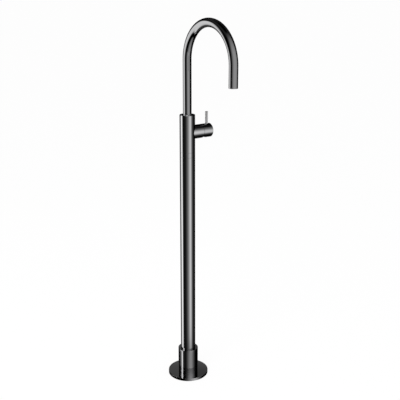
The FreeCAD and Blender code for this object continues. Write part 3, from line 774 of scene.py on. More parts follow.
@dataclass
class Foot(Assembly):
    """The dished floor flange and the collar that stands on it."""

    flange_wall: float = 2.0 * MM
    flange_round: float = 0.2 * MM
    flange_round_steps: int = 6
    flange_gap: float = 0.5 * MM
    flange_sides: int = 192
    collar_wall: float = 3.0 * MM
    collar_lip: float = 5.0 * MM
    collar_chamfer: float = 0.6 * MM
    collar_sides: int = 160
    column_gap: float = 0.1 * MM

    def build(self) -> None:
        """Makes the flange and the collar."""
        self.make_flange()
        self.make_collar()

    def make_flange(self) -> None:
        """Turns the thin cover, hollow below and open in the middle."""
        low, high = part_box("floor_flange")
        radius = high.x
        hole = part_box("column_foot")[1].x + self.flange_gap
        ceiling = high.z - self.flange_wall
        beside = self.flange_round * BESIDE_ROUND
        rings = [
            Ring(radius, low.z),
            Ring(radius, high.z - beside),
            Ring(radius, high.z, self.flange_round, self.flange_round_steps),
            Ring(radius - beside, high.z),
            Ring(hole, high.z),
            Ring(hole, ceiling),
            Ring(radius - self.flange_wall, ceiling),
            Ring(radius - self.flange_wall, low.z),
        ]
        cover = turn("floor_cover", rings, closed=True, sides=self.flange_sides)
        self.finish(cover, Slot.DARK_CHROME, "floor_flange")

    def make_collar(self) -> None:
        """Turns the sleeve with its lip round the column."""
        low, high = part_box("collar")
        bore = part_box("column_tube")[1].x + self.column_gap
        inside = high.x - self.collar_wall
        rings = [
            Ring(high.x, low.z),
            Ring(high.x, high.z, self.collar_chamfer),
            Ring(bore, high.z),
            Ring(bore, high.z - self.collar_lip),
            Ring(inside, high.z - self.collar_lip),
            Ring(inside, low.z),
        ]
        collar = turn("foot_collar", rings, closed=True, sides=self.collar_sides)
        self.finish(collar, Slot.DARK_CHROME, "collar")


@dataclass
class Column(Assembly):
    """The long tube and the ring that joins it to the mixer body."""

    tube_wall: float = 2.0 * MM
    seam: float = 0.3 * MM
    lower_spigot: float = 20.0 * MM
    upper_spigot: float = 12.0 * MM
    spigot_wall: float = 3.0 * MM
    upper_inset: float = 4.1 * MM
    seat_gap: float = 0.1 * MM
    screw_hole: float = 2.6 * MM
    screw_hole_sides: int = 32
    row_above_screws: float = 10.4 * MM

    def build(self) -> None:
        """Makes the tube and the joint ring."""
        self.make_tube()
        self.make_joint()

    def make_tube(self) -> None:
        """Turns the tube, with a row just above its two grub screws, and drills it for them."""
        low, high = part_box("column_tube")
        radius = high.x
        bore = radius - self.tube_wall
        screw_height = middle_height("column_grub_screws")
        above = screw_height + self.row_above_screws
        rings = [
            Ring(radius, low.z),
            Ring(radius, above),
            Ring(radius, high.z, self.seam),
            Ring(bore, high.z),
            Ring(bore, above),
            Ring(bore, low.z),
        ]
        tube = turn("column_sleeve", rings, closed=True)
        right = Vector((radius + OVERRUN, 0.0, screw_height))
        left = Vector((-right.x, 0.0, screw_height))
        carve(tube, bar(self.screw_hole, left, right, self.screw_hole_sides))
        close_up(tube)
        self.finish(tube, Slot.DARK_CHROME, "column_tube")

    def make_joint(self) -> None:
        """Turns the ring with its spigots down into the tube and up into the body."""
        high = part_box("column_tube")[1]
        radius = high.x
        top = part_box("mixer_body")[0].z
        lower = radius - self.tube_wall - self.seat_gap
        upper = radius - self.upper_inset
        inside = upper - self.spigot_wall
        rings = [
            Ring(radius, high.z, self.seam),
            Ring(radius, top, self.seam),
            Ring(upper, top),
            Ring(upper, top + self.upper_spigot),
            Ring(inside, top + self.upper_spigot),
            Ring(inside, high.z - self.lower_spigot),
            Ring(lower, high.z - self.lower_spigot),
            Ring(lower, high.z),
        ]
        joint = turn("column_joint", rings, closed=True)
        self.finish(joint, Slot.DARK_CHROME, "joint_ring")


# Mixer body, knob and lever


@dataclass
class MixerBody(Assembly):
    """The upright body with the valve's neck on its side, and the ball-shaped cover in the neck's mouth."""

    sides: int = 192
    chamber_sides: int = 96
    mouth_sides: int = 128
    stop_sides: int = 32
    ball_steps: int = 14
    seam: float = 0.3 * MM
    top_chamfer: float = 0.9 * MM
    socket_wall: float = 4.0 * MM
    socket_height: float = 28.0 * MM
    spigot_bore: float = 11.95 * MM
    spigot_depth: float = 34.0 * MM
    recess_radius: float = 13.65 * MM
    recess_depth: float = 0.8 * MM
    valve_radius: float = 22.5 * MM
    valve_margin: float = 2.0 * MM
    saddle_sink: float = 0.05 * MM
    chamber_radius: float = 17.6 * MM
    base_rim: float = 1.5 * MM
    thread_radius: float = 19.1 * MM
    mouth_wall: float = 1.9 * MM
    mouth_depth: float = 4.0 * MM
    skirt_gap: float = 0.05 * MM
    pivot_inset: float = 10.0 * MM
    dome_wall: float = 2.5 * MM
    dome_hole: float = 14.62 * MM
    stop_hole: float = 2.5 * MM
    radius: float = field(init=False)
    bottom: float = field(init=False)
    top: float = field(init=False)
    seam_x: float = field(init=False)
    valve_height: float = field(init=False)
    chamber_floor: float = field(init=False)
    thread_start: float = field(init=False)

    def __post_init__(self) -> None:
        """Reads the body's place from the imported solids."""
        low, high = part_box("mixer_body")
        self.radius = -low.x
        self.bottom = low.z
        self.top = high.z
        self.seam_x = high.x
        self.valve_height = middle_height("cartridge_base")
        self.chamber_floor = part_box("cartridge_housing")[0].x - self.base_rim
        self.thread_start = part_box("cartridge_nut")[0].x

    def build(self) -> None:
        """Makes the body, the neck and the dome."""
        self.make_body()
        self.make_neck()
        self.make_dome()

    def on_valve(self, station: float) -> Vector:
        """A point on the valve's axis."""
        return Vector((station, 0.0, self.valve_height))

    def make_body(self) -> None:
        """Turns the upright part, bores the chamber for the cartridge and drills for the stop screw."""
        socket = self.radius - self.socket_wall
        beside = self.valve_radius + self.valve_margin
        rings = [
            Ring(socket, self.bottom + self.socket_height),
            Ring(socket, self.bottom),
            Ring(self.radius, self.bottom, self.seam),
            Ring(self.radius, self.valve_height - beside),
            Ring(self.radius, self.valve_height + beside),
            Ring(self.radius, self.top, self.top_chamfer),
            Ring(self.recess_radius, self.top),
            Ring(self.recess_radius, self.top - self.recess_depth),
            Ring(self.spigot_bore, self.top - self.recess_depth),
            Ring(self.spigot_bore, self.top - self.spigot_depth),
        ]
        body = turn("tap_body", rings, closed=False, sides=self.sides)
        self.bore_chamber(body)
        inside = Vector((0.0, 0.0, middle_height("spout_stop_screw")))
        outside = inside + Vector((0.0, self.radius + OVERRUN, 0.0))
        carve(body, bar(self.stop_hole, inside, outside, self.stop_sides))
        close_up(body)
        self.finish(body, Slot.DARK_CHROME, "mixer_body")

    def bore_chamber(self, piece: bpy.types.Object) -> None:
        """Bores the chamber, the nut's thread and the mouth that takes the ball-shaped cover.

        Args:
            piece: The body or the neck.
        """
        beyond = self.on_valve(self.seam_x + OVERRUN)
        bores = (
            (self.chamber_radius, self.chamber_floor, self.chamber_sides),
            (self.thread_radius, self.thread_start, self.chamber_sides),
            (self.valve_radius - self.mouth_wall, self.seam_x - self.mouth_depth, self.mouth_sides),
        )
        for radius, floor, sides in bores:
            carve(piece, bar(radius, self.on_valve(floor), beyond, sides))

    def make_neck(self) -> None:
        """Turns the neck, saddles its root to the body and bores it."""
        rings = [
            Ring(self.valve_radius, 0.0),
            Ring(self.valve_radius, self.seam_x, self.seam / 2),
        ]
        neck = turn("valve_neck", rings, closed=False, sides=self.sides)
        lay_on_valve(neck, 0.0, self.valve_height)
        reach = Vector((0.0, 0.0, 2 * self.valve_radius))
        foot = self.on_valve(0.0) - reach
        head = self.on_valve(0.0) + reach
        carve(neck, bar(self.radius - self.saddle_sink, foot, head, self.sides))
        self.bore_chamber(neck)
        close_up(neck)
        self.finish(neck, Slot.DARK_CHROME, "mixer_body")

    def make_dome(self) -> None:
        """Turns the cover: a skirt in the neck's mouth and a ball face about the tilt pivot."""
        pivot = self.seam_x - self.pivot_inset
        outer = math.hypot(self.valve_radius, self.pivot_inset)
        inner = outer - self.dome_wall
        skirt = self.valve_radius - self.mouth_wall - self.skirt_gap
        throat = math.sqrt(inner ** 2 - self.pivot_inset ** 2)
        rings = [Ring(skirt, self.seam_x - self.mouth_depth), Ring(skirt, self.seam_x)]
        rings += self.ball_rings(outer, pivot, self.valve_radius, self.dome_hole)
        rings += self.ball_rings(inner, pivot, self.dome_hole, throat)
        rings.append(Ring(throat, self.seam_x - self.mouth_depth))
        dome = turn("ball_cover", rings, closed=True)
        lay_on_valve(dome, 0.0, self.valve_height)
        self.finish(dome, Slot.DARK_CHROME, "dome_cover")

    def ball_rings(self, radius: float, centre: float, first: float, last: float) -> list[Ring]:
        """Rings on a ball about the pivot, between two of its circles.

        Args:
            radius: The ball's radius.
            centre: The pivot's station.
            first: Radius of the first circle.
            last: Radius of the last circle.

        Returns:
            The rings in order.
        """
        start = math.asin(first / radius)
        end = math.asin(last / radius)
        made = []
        for step in range(self.ball_steps):
            angle = start + (end - start) * step / (self.ball_steps - 1)
            made.append(Ring(radius * math.sin(angle), centre + radius * math.cos(angle)))
        return made


@dataclass
class Handle(Assembly):
    """The knob with its pin lever."""

    body: str = "handle"
    pivot: float = 42.0 * MM
    ball_radius: float = 24.92 * MM
    ball_segments: int = 96
    ball_rows: int = 64
    front_chamfer: float = 0.7 * MM
    relief_length: float = 15.5 * MM
    relief_height: float = 11.0 * MM
    stem_half: float = 3.55 * MM
    stem_end: float = 81.5 * MM
    screw_radius: float = 2.0 * MM
    stud_radius: float = 3.0 * MM
    stud_length: float = 7.0 * MM
    lever_seat: float = 4.0 * MM
    lever_round: float = 0.6 * MM
    lever_round_steps: int = 5
    lever_sides: int = 64
    knob_sides: int = 160
    fit: float = 0.05 * MM

    def build(self) -> None:
        """Makes the knob and the lever."""
        self.make_knob()
        self.make_lever()

    def make_knob(self) -> None:
        """Turns the knob, relieves it below, hollows it over the ball and drills it."""
        low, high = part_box("knob")
        radius = (high.y - low.y) / 2
        height = high.z - radius
        rings = [
            Ring(radius, 0.0),
            Ring(radius, high.x - low.x, self.front_chamfer),
        ]
        knob = turn("valve_knob", rings, closed=False, sides=self.knob_sides)
        lay_on_valve(knob, low.x, height)
        self.relieve(knob, low.x, height - radius)
        self.hollow(knob, low.x, height)
        self.drill(knob, height, radius)
        close_up(knob)
        self.finish(knob, Slot.DARK_CHROME, "knob")

    def relieve(self, knob: bpy.types.Object, start: float, bottom: float) -> None:
        """Cuts the wedge below the knob's inner end that lets it tilt.

        Args:
            knob: The knob.
            start: The station of its inner end.
            bottom: The height of its underside.
        """
        with editing(knob, whole=True):
            bpy.ops.mesh.bisect(plane_co=(start + self.relief_length, 0.0, bottom),
                                plane_no=(self.relief_height, 0.0, self.relief_length),
                                use_fill=True, clear_inner=True)

    def hollow(self, knob: bpy.types.Object, start: float, height: float) -> None:
        """Makes room for the ball-shaped cover, and the square socket for the stem.

        Args:
            knob: The knob.
            start: The station of its inner end.
            height: The height of the valve's axis.
        """
        put_down()
        bpy.ops.mesh.primitive_uv_sphere_add(segments=self.ball_segments, ring_count=self.ball_rows,
                                             radius=self.ball_radius, location=(self.pivot, 0.0, height),
                                             rotation=(0.0, math.pi / 2, 0.0))
        ball = bpy.context.active_object
        settle(ball)
        carve(knob, ball)
        carve(knob, block(Vector((start - OVERRUN, -self.stem_half, height - self.stem_half)),
                          Vector((self.stem_end, self.stem_half, height + self.stem_half))))

    def drill(self, knob: bpy.types.Object, height: float, radius: float) -> None:
        """Drills the lever's seat and stud hole from above, and the grub screw's hole from below.

        Args:
            knob: The knob.
            height: The height of the valve's axis.
            radius: The knob's radius.
        """
        lever_low, lever_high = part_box("lever_rod")
        station = ((lever_low + lever_high) / 2).x
        lever_radius = (lever_high.x - lever_low.x) / 2
        seat = height + radius - self.lever_seat
        above = Vector((station, 0.0, height + radius + 2 * OVERRUN))
        below = Vector((station, 0.0, height - radius - 2 * OVERRUN))
        holes = (
            (lever_radius + self.fit, Vector((station, 0.0, seat)), above),
            (self.stud_radius, Vector((station, 0.0, seat - self.stud_length)), above),
            (self.screw_radius, below, Vector((station, 0.0, height))),
        )
        for hole_radius, start, end in holes:
            carve(knob, bar(hole_radius, start, end))

    def make_lever(self) -> None:
        """Turns the pin with its stud and a rounded tip."""
        low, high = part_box("lever_rod")
        centre = (low + high) / 2
        radius = (high.x - low.x) / 2
        seat = low.z + self.stud_length
        beside = self.lever_round * BESIDE_ROUND
        rings = [
            Ring(self.stud_radius, low.z),
            Ring(self.stud_radius, seat),
            Ring(radius, seat),
            Ring(radius, high.z - beside),
            Ring(radius, high.z, self.lever_round, self.lever_round_steps),
            Ring(radius - beside, high.z),
        ]
        lever = turn("pin_lever", rings, closed=False, sides=self.lever_sides)
        lever.location = (centre.x, 0.0, 0.0)
        settle(lever)
        self.finish(lever, Slot.LEVER_STEEL, "lever_rod")


# Spout


@dataclass
class Spout(Assembly):
    """The swivelling gooseneck, one bent tube open at its outlet."""

    body: str = "spout"
    sides: int = 96
    bend_steps: int = 120
    wall: float = 1.5 * MM
    mouth_round: float = 0.4 * MM
    mouth_steps: int = 4
    mouth_slack: float = 0.02 * MM
    bend_height: float = 1092.0 * MM
    bend_radius: float = 118.0 * MM
    aerator_recess: float = 1.0 * MM

    def build(self) -> None:
        """Draws the tube up, over and down, gives it its wall and rounds the mouth."""
        low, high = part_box("gooseneck")
        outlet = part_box("aerator_housing")[0].z - self.aerator_recess
        tube = self.draw_tube(high.x, low.z, outlet)
        apply_modifier(tube, "SOLIDIFY", thickness=self.wall, offset=-1.0)
        mouth = Ring(high.x, outlet, self.mouth_round, self.mouth_steps)
        break_edge(tube, mouth, (0.0, -2 * self.bend_radius), self.mouth_slack)
        close_up(tube)
        self.finish(tube, Slot.DARK_CHROME, "gooseneck")

    def draw_tube(self, radius: float, foot: float, outlet: float) -> bpy.types.Object:
        """Extrudes and spins the tube's outer skin along its middle line.

        Args:
            radius: The tube's outer radius.
            foot: The height where it starts.
            outlet: The height where it ends.

        Returns:
            The skin, open at both ends.
        """
        tube = start_circle("gooseneck_tube", radius, foot, self.sides)
        with editing(tube, whole=True):
            extrude_up(self.bend_height - foot)
            bpy.ops.mesh.spin(steps=self.bend_steps, angle=-math.pi, axis=(1.0, 0.0, 0.0),
                              center=(0.0, -self.bend_radius, self.bend_height))
            extrude_up(outlet - self.bend_height)
        close_up(tube)
        return tube


# Studio


class Reach(Enum):
    """Whether a clear cloth lights only some pieces or all but those, in light linking's own words."""

    ONLY = "INCLUDE"
    ALL_BUT = "EXCLUDE"


@dataclass(frozen=True)
class LightPanel:
    """A soft panel on a wall: its brightness by bearing round the mixer, and by height."""

    around: Steps
    upright: Steps


@dataclass(frozen=True)
class LightWall:
    """A round wall of the tent, with its panels.

    Without a reach it is opaque, and every piece reflects it. With one it is clear, and lights only the
    spout, or all but the spout. A closed wall has flat ends.
    """

    name: str
    radius: float
    bottom: float
    top: float
    panels: tuple[LightPanel, ...] = ()
    reach: Reach | None = None
    closed: bool = False


# Bearings in degrees from the camera's side, anticlockwise seen from above, and heights in metres
BEARINGS = (-180.0, 180.0)
DARK_DRUM = LightWall("dark_drum", radius=2.6, bottom=-3.05, top=3.05, closed=True)
UPPER_WALL = LightWall("upper_wall", radius=0.6, bottom=0.815, top=3.0, panels=(
    # Left window, lower part
    LightPanel(
        around=((-136, 0.0), (-128, 0.12), (-119, 0.75), (-110, 1.1), (-98, 1.25), (-89, 0.95), (-80, 0.4),
                (-73, 0.08), (-68, 0.0)),
        upright=((0.815, 0.95), (1.1, 1.0), (1.2, 0.0)),
    ),
    # Left window, upper part
    LightPanel(
        around=((-124, 0.0), (-119, 0.9), (-112, 1.2), (-100, 1.25), (-92, 0.95), (-86, 0.5), (-80, 0.25),
                (-74, 0.03), (-70, 0.0)),
        upright=((1.1, 0.0), (1.2, 1.0), (1.38, 1.0), (1.49, 0.0)),
    ),
    # Left window, the edge towards the camera
    LightPanel(
        around=((-94, 0.0), (-84, 0.55), (-76, 1.05), (-68, 1.0), (-63, 0.2), (-58, 0.0)),
        upright=((0.815, 1.0), (1.03, 0.9), (1.12, 0.35), (1.2, 0.0)),
    ),
    # Right window
    LightPanel(
        around=((-28, 0.0), (-18, 0.05), (-6, 0.2), (4, 0.37), (18, 0.53), (38, 0.57), (56, 0.5), (67, 0.42),
                (73, 0.22), (78, 0.0)),
        upright=((0.815, 1.0), (1.32, 0.95), (1.6, 0.6), (2.0, 0.2), (2.6, 0.04), (2.9, 0.0)),
    ),
    # Faint light all round, higher than the mixer
    LightPanel(
        around=((-180, 0.035), (180, 0.035)),
        upright=((1.5, 0.0), (1.9, 1.0), (2.3, 0.4), (3.0, 0.2)),
    ),
    # Behind the mixer
    LightPanel(
        around=((-180, 0.12), (-168, 0.1), (-156, 0.0), (156, 0.0), (168, 0.1), (180, 0.12)),
        upright=((0.815, 1.0), (0.96, 0.8), (1.04, 0.0)),
    ),
))
SPOUT_WALL = LightWall("spout_wall", radius=0.6, bottom=-2.0, top=0.815, reach=Reach.ONLY, panels=(
    # Left window
    LightPanel(
        around=((-138, 0.0), (-132, 0.08), (-126, 0.22), (-114, 0.87), (-104, 1.15), (-90, 1.2), (-84, 1.0),
                (-76, 0.5), (-70, 0.05), (-66, 0.0)),
        upright=((-2.0, 0.8), (-0.6, 1.0), (0.815, 1.0)),
    ),
    # Left window, the edge towards the camera
    LightPanel(
        around=((-84, 0.0), (-76, 0.4), (-70, 0.5), (-63, 0.12), (-58, 0.0)),
        upright=((0.6, 0.0), (0.7, 1.0), (0.815, 1.0)),
    ),
    # Right window
    LightPanel(
        around=((-26, 0.0), (-16, 0.015), (-6, 0.055), (6, 0.18), (18, 0.33), (30, 0.41), (42, 0.47),
                (54, 0.42), (66, 0.31), (78, 0.2), (88, 0.09), (96, 0.02), (104, 0.0)),
        upright=((-2.0, 0.0), (-0.7, 0.8), (0.5, 1.0), (0.815, 1.15)),
    ),
    # Behind the mixer
    LightPanel(
        around=((-180, 0.05), (-160, 0.06), (-150, 0.0), (144, 0.0), (160, 0.02), (180, 0.05)),
        upright=((-2.0, 1.0), (0.815, 1.0)),
    ),
))
LOWER_WALL = LightWall("lower_wall", radius=2.5, bottom=-3.0, top=3.0, reach=Reach.ALL_BUT, panels=(
    # Left window, with a gap at the heights that the collar and the flange's side reflect
    LightPanel(
        around=((-150, 0.0), (-142, 0.03), (-131, 0.12), (-120, 0.35), (-110, 0.85), (-100, 1.75), (-91, 2.1),
                (-84, 1.35), (-77, 0.4), (-70, 0.03), (-66, 0.0)),
        upright=((-3.0, 0.8), (-2.2, 1.0), (-1.6, 0.6), (-1.5, 0.0), (-1.252, 0.0), (-1.246, 0.9),
                 (-1.0, 1.0), (0.5, 1.0), (0.56, 0.0)),
    ),
    # Right window, with the same gap
    LightPanel(
        around=((-60, 0.0), (-45, 0.02), (-30, 0.01), (-15, 0.09), (0, 0.225), (15, 0.47), (30, 0.93),
                (43, 1.2), (49, 1.16), (56, 0.82), (63, 0.52), (72, 0.2), (82, 0.08), (103, 0.02),
                (112, 0.0)),
        upright=((-3.0, 0.8), (-2.2, 1.0), (-1.6, 0.65), (-1.48, 0.6), (-1.474, 0.0), (-1.252, 0.0),
                 (-1.246, 0.58), (-1.15, 0.85), (-1.0, 1.0), (0.5, 1.0), (0.56, 0.0)),
    ),
    # Both windows for the collar
    LightPanel(
        around=((-124, 0.0), (-106, 0.08), (-93, 0.2), (-85, 0.45), (-78, 1.2), (-71, 2.0), (-65, 0.5),
                (-59, 0.03), (-30, 0.01), (-22, 0.02), (-10, 0.1), (1, 0.22), (13, 0.37), (25, 0.48),
                (38, 0.48), (50, 0.345), (64, 0.18), (78, 0.05), (95, 0.0)),
        upright=((-1.421, 0.0), (-1.401, 1.0), (-1.252, 1.0), (-1.246, 0.0)),
    ),
    # Right window for the flange's side
    LightPanel(
        around=((-24, 0.0), (-12, 0.03), (0, 0.2), (12, 0.45), (25, 0.65), (40, 0.8), (50, 0.68), (60, 0.4),
                (68, 0.16), (76, 0.1), (86, 0.01), (92, 0.0)),
        upright=((-1.476, 0.0), (-1.471, 1.0), (-1.422, 1.0), (-1.401, 0.0)),
    ),
    # Left window for the collar's image in the flange
    LightPanel(
        around=((-106, 0.0), (-93, 0.2), (-85, 0.8), (-78, 2.4), (-71, 3.5), (-65, 0.8), (-59, 0.03),
                (-45, 0.0)),
        upright=((0.9, 0.0), (1.1, 1.0), (1.6, 1.0), (1.8, 0.0)),
    ),
    # Right window for the collar's image in the flange
    LightPanel(
        around=((-36, 0.0), (-10, 0.11), (1, 0.27), (13, 0.45), (25, 0.54), (38, 0.56), (50, 0.45),
                (64, 0.26), (78, 0.08), (95, 0.0)),
        upright=((0.9, 0.0), (1.1, 1.0), (1.42, 0.88), (1.445, 0.97), (1.47, 1.4), (1.494, 1.6), (1.6, 1.6),
                 (1.8, 0.0)),
    ),
    # Behind the mixer on the left, for the flange's top
    LightPanel(
        around=((-180, 0.11), (-150, 0.11), (-140, 0.0)),
        upright=((0.9, 0.0), (1.1, 1.4), (1.38, 1.45), (1.43, 1.05), (1.52, 0.88), (1.8, 0.88), (2.2, 0.0)),
    ),
    # Behind the mixer on the right, for the flange's top
    LightPanel(
        around=((140, 0.0), (150, 0.07), (172, 0.11), (180, 0.11)),
        upright=((0.9, 0.0), (1.1, 1.4), (1.38, 1.5), (1.43, 0.95), (1.48, 0.66), (1.8, 0.66), (2.2, 0.0)),
    ),
    # Behind the mixer, for the column's edges
    LightPanel(
        around=((-180, 0.25), (-168, 0.18), (-156, 0.0), (156, 0.0), (168, 0.18), (180, 0.25)),
        upright=((-3.0, 1.0), (0.9, 1.0), (1.0, 0.0)),
    ),
    # Both windows again, higher up
    LightPanel(
        around=((-150, 0.0), (-131, 0.12), (-120, 0.35), (-110, 0.85), (-100, 1.75), (-91, 2.1),
                (-84, 1.35), (-77, 0.4), (-70, 0.03), (-30, 0.01), (-15, 0.09), (0, 0.225), (15, 0.47),
                (30, 0.93), (43, 1.2), (49, 1.1), (54, 0.5), (58, 0.0)),
        upright=((0.5, 0.0), (0.56, 1.0), (0.95, 1.0), (1.05, 0.0)),
    ),
    # Light from overhead
    LightPanel(
        around=((-180, 1.0), (180, 1.0)),
        upright=((1.9, 0.0), (2.5, 0.25), (3.0, 0.4)),
    ),
))
VALVE_CARD: Steps = (
    (0.2, 0.0), (0.42, 0.03), (0.54, 0.3), (0.62, 0.6), (0.69, 0.85), (0.78, 1.0), (0.84, 1.0), (0.94, 0.68),
    (1.06, 0.38), (1.21, 0.18), (1.38, 0.08), (1.6, 0.02), (1.8, 0.0),
)


@dataclass(frozen=True)
class Studio:
    """Floor, lamp, light tent and camera.

    It is given the valve's pieces, which have a card of their own, and the spout's, which some of the tent
    lights alone and some leaves out.
    """

    valve: Sequence[bpy.types.Object]
    spout: Sequence[bpy.types.Object]
    camera_place: tuple[float, float, float] = (-1.2953, -1.9004, 1.3374)
    camera_heading: float = -35.0
    camera_pitch: float = 16.995
    camera_sensor: float = 36.0
    camera_lens: float = 65.655
    camera_shift: float = 0.009
    camera_sight: float = 200.0
    floor_size: float = 400.0
    floor_depth: float = 0.2 * MM
    floor_grain: Noise = Noise(3.0)
    floor_shades: tuple[Colour, Colour] = ((0.92, 0.92, 0.92), (0.94, 0.94, 0.94))
    floor_glow: float = 0.9
    air_light: float = 0.9
    air_seen: float = 0.085
    lamp_place: tuple[float, float, float] = (-2.2, -1.2, 2.8)
    lamp_target: tuple[float, float, float] = (0.0, 0.0, 0.6)
    lamp_size: float = 1.8
    lamp_power: float = 45.0
    front: float = 235.0
    wall_sides: int = 128
    sheet_heights: tuple[float, float] = (-2.98, 2.98)
    sheet_radius: float = 2.49
    sheet_sides: int = 64
    sheet_light: float = 0.985
    card_bearing: float = 70.0
    card_distance: float = 0.5
    card_width: float = 0.4
    card_from: tuple[float, float] = (0.055, 0.0)

    def build(self) -> None:
        """Sets up the studio round the mixer."""
        self.lay_floor()
        for wall in (DARK_DRUM, LOWER_WALL, SPOUT_WALL, UPPER_WALL):
            self.stand_wall(wall)
        for height in self.sheet_heights:
            self.hang_sheet(height)
        self.stand_card()
        self.light_world()
        self.hang_lamp()
        self.aim_camera()
        bpy.context.scene.view_settings.view_transform = "Standard"

    def lay_floor(self) -> None:
        """Lays a white floor that keeps the mixer's shadow."""
        put_down()
        bpy.ops.mesh.primitive_plane_add(size=self.floor_size, location=(0.0, 0.0, -self.floor_depth))
        floor = bpy.context.active_object
        floor.name = "studio_floor"
        sheet = self.coat(floor, "studio_paper")
        shade = sheet.blend(sheet.noise(sheet.place(), self.floor_grain), *self.floor_shades)
        paper = sheet.wire("ShaderNodeBsdfDiffuse", 0, None, {"Color": shade})
        lit = self.seen_directly(sheet) * self.floor_glow
        sheet.surface(sheet.wire("ShaderNodeMixShader", 0, None, {0: lit, 1: paper, 2: sheet.glow(1.0)}))
        floor.visible_glossy = False

    def coat(self, thing: bpy.types.Object, name: str) -> Sheet:
        """Gives a thing of the studio a new material.

        Args:
            thing: The floor or a cloth.
            name: The material's name.

        Returns:
            The material's empty node tree.
        """
        material = bpy.data.materials.new(name)
        material.use_nodes = True
        thing.data.materials.append(material)
        return Sheet(material.node_tree)

    def seen_directly(self, sheet: Sheet) -> Wire:
        """Tells rays from the camera, a mirror or glass from light that fills in.

        Args:
            sheet: The node tree.

        Returns:
            1 for the first kind of ray and 0 for the second.
        """
        path = sheet.node("ShaderNodeLightPath")
        camera, mirror, glass = (Wire(sheet, path.outputs[name])
                                 for name in ("Is Camera Ray", "Is Glossy Ray", "Is Transmission Ray"))
        return sheet.maths("MINIMUM", camera + mirror + glass, 1.0)

    def take_cloth(self, name: str) -> tuple[bpy.types.Object, Sheet]:
        """Makes the mesh that was just added a cloth of the tent, which shows in reflections alone.

        Args:
            name: The cloth's name.

        Returns:
            The cloth, and its material's empty node tree.
        """
        cloth = bpy.context.active_object
        cloth.name = name
        settle(cloth)
        cloth.visible_camera = False
        cloth.visible_diffuse = False
        cloth.visible_transmission = False
        cloth.visible_volume_scatter = False
        cloth.visible_shadow = False
        return cloth, self.coat(cloth, name + "_cloth")

    def light_some(self, cloth: bpy.types.Object, sheet: Sheet, light: Value, reach: Reach,
                   pieces: Sequence[bpy.types.Object]) -> None:
        """Makes a cloth clear, with a glow for some of the mixer's pieces.

        Args:
            cloth: The wall, sheet or card.
            sheet: Its node tree.
            light: The brightness of its glow.
            reach: Whether the glow reaches only the pieces that follow, or all but them.
            pieces: The pieces in question.
        """
        clear = sheet.wire("ShaderNodeBsdfTransparent")
        sheet.surface(sheet.wire("ShaderNodeAddShader", 0, None, {0: clear, 1: sheet.glow(light)}))
        named = bpy.data.collections.new(cloth.name + "_pieces")
        for piece in pieces:
            named.objects.link(piece)
        for member in named.collection_objects:
            member.light_linking.link_state = reach.value
        cloth.light_linking.receiver_collection = named

    def hang_sheet(self, height: float) -> None:
        """Hangs a flat white sheet above or below the mixer, which all but the spout reflect.

        Args:
            height: The sheet's height.
        """
        put_down()
        bpy.ops.mesh.primitive_circle_add(vertices=self.sheet_sides, radius=self.sheet_radius,
                                          fill_type="NGON", location=(0.0, 0.0, height))
        cloth, sheet = self.take_cloth("white_sheet")
        self.light_some(cloth, sheet, self.sheet_light, Reach.ALL_BUT, self.spout)

    def stand_wall(self, wall: LightWall) -> None:
        """Stands one of the tent's round walls.

        Args:
            wall: The wall's place and panels.
        """
        put_down()
        bpy.ops.mesh.primitive_cylinder_add(vertices=self.wall_sides, radius=wall.radius,
                                            depth=wall.top - wall.bottom,
                                            end_fill_type="NGON" if wall.closed else "NOTHING",
                                            location=(0.0, 0.0, (wall.top + wall.bottom) / 2))
        cloth, sheet = self.take_cloth(wall.name)
        light = self.panel_light(wall, sheet)
        if wall.reach:
            self.light_some(cloth, sheet, light, wall.reach, self.spout)
        else:
            sheet.surface(sheet.glow(light))

    def panel_light(self, wall: LightWall, sheet: Sheet) -> Value:
        """Adds up a wall's panels.

        Args:
            wall: The wall.
            sheet: Its node tree.

        Returns:
            The brightness over the wall, which is 0 without panels.
        """
        east, north, height = sheet.axes()
        bearing = sheet.maths("ARCTAN2", north, east) / math.tau
        # Half a turn puts the front in the middle, and a whole one keeps the sum above 0
        around = sheet.maths("FRACT", bearing + (1.5 - self.front / 360.0))
        up = (height - wall.bottom) / (wall.top - wall.bottom)
        light: Value = 0.0
        for panel in wall.panels:
            wide = self.profile(sheet, panel.around, around, *BEARINGS)
            light = light + wide * self.profile(sheet, panel.upright, up, wall.bottom, wall.top)
        return light

    def profile(self, sheet: Sheet, steps: Steps, place: Wire, start: float, end: float) -> Wire:
        """A brightness that changes along a bearing or a height.

        Args:
            sheet: The node tree.
            steps: Places and levels, in order.
            place: The place along the profile, from 0 at the start to 1 at the end.
            start: The bearing or height where the place is 0.
            end: The bearing or height where the place is 1.

        Returns:
            The brightness.
        """
        brightest = max(level for _, level in steps)
        stops = [((spot - start) / (end - start), (level / brightest,) * 3) for spot, level in steps]
        return sheet.wire("ShaderNodeValToRGB", 0, {"stops": stops}, {0: place}) * brightest

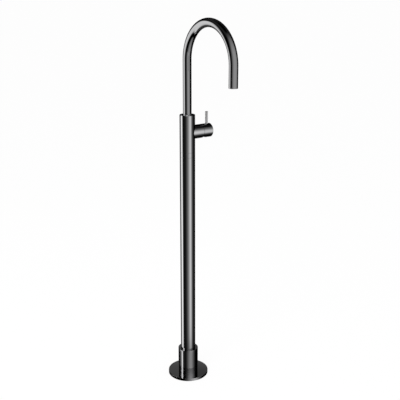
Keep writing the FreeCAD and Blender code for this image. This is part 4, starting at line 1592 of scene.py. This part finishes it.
    def stand_card(self) -> None:
        """Stands a tall soft card beside the valve, which lights the valve's pieces alone."""
        put_down()
        bearing = math.radians(self.front + self.card_bearing)
        away = Vector((math.cos(bearing), math.sin(bearing), 0.0))
        low, high = VALVE_CARD[0][0], VALVE_CARD[-1][0]
        centre = Vector((*self.card_from, (low + high) / 2)) + away * self.card_distance
        bpy.ops.mesh.primitive_plane_add(size=1.0, location=centre,
                                         rotation=(math.pi / 2, 0.0, bearing + math.pi / 2))
        bpy.context.active_object.scale = (self.card_width, high - low, 1.0)
        card, sheet = self.take_cloth("valve_card")
        height = sheet.axes()[2]
        light = self.profile(sheet, VALVE_CARD, (height - low) / (high - low), low, high)
        self.light_some(card, sheet, light, Reach.ONLY, self.valve)

    def light_world(self) -> None:
        """Fills the studio with plain white light, a little brighter where it is seen directly."""
        world = bpy.data.worlds.new("studio_air")
        world.use_nodes = True
        bpy.context.scene.world = world
        sheet = Sheet(world.node_tree)
        strength = self.air_light + self.air_seen * self.seen_directly(sheet)
        light = sheet.wire("ShaderNodeBackground", 0, None, {"Color": (1.0, 1.0, 1.0), "Strength": strength})
        sheet.surface(light, "ShaderNodeOutputWorld")

    def hang_lamp(self) -> None:
        """Hangs one wide soft lamp above and to the left."""
        put_down()
        place = Vector(self.lamp_place)
        aim = Vector(self.lamp_target) - place
        turned = aim.to_track_quat("-Z", "Y").to_euler()
        bpy.ops.object.light_add(type="AREA", location=place, rotation=turned)
        lamp = bpy.context.active_object
        lamp.name = "soft_lamp"
        lamp.data.shape = "DISK"
        lamp.data.size = self.lamp_size
        lamp.data.energy = self.lamp_power
        lamp.visible_glossy = False

    def aim_camera(self) -> None:
        """Puts the camera where the photograph was taken from."""
        put_down()
        turned = (math.radians(90.0 - self.camera_pitch), 0.0, math.radians(self.camera_heading))
        bpy.ops.object.camera_add(location=self.camera_place, rotation=turned)
        camera = bpy.context.active_object
        camera.data.sensor_width = self.camera_sensor
        camera.data.lens = self.camera_lens
        camera.data.shift_x = self.camera_shift
        camera.data.clip_end = self.camera_sight
        bpy.context.scene.camera = camera


def main() -> None:
    """Builds the mixer's sub-assemblies in order, then the studio."""
    logging.basicConfig(level=logging.INFO, format="%(name)s: %(message)s")
    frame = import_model()
    palette = Palette()
    palette.dress_solids(frame)
    body, handle, spout = MixerBody(palette), Handle(palette), Spout(palette)
    for assembly in (Foot(palette), Column(palette), body, handle, spout):
        assembly.build()
        LOG.info("%s: %d pieces", type(assembly).__name__, len(assembly.pieces))
    _, *neck_and_cover = body.pieces
    Studio(neck_and_cover + handle.pieces, spout.pieces).build()


if __name__ == "__main__":
    main()
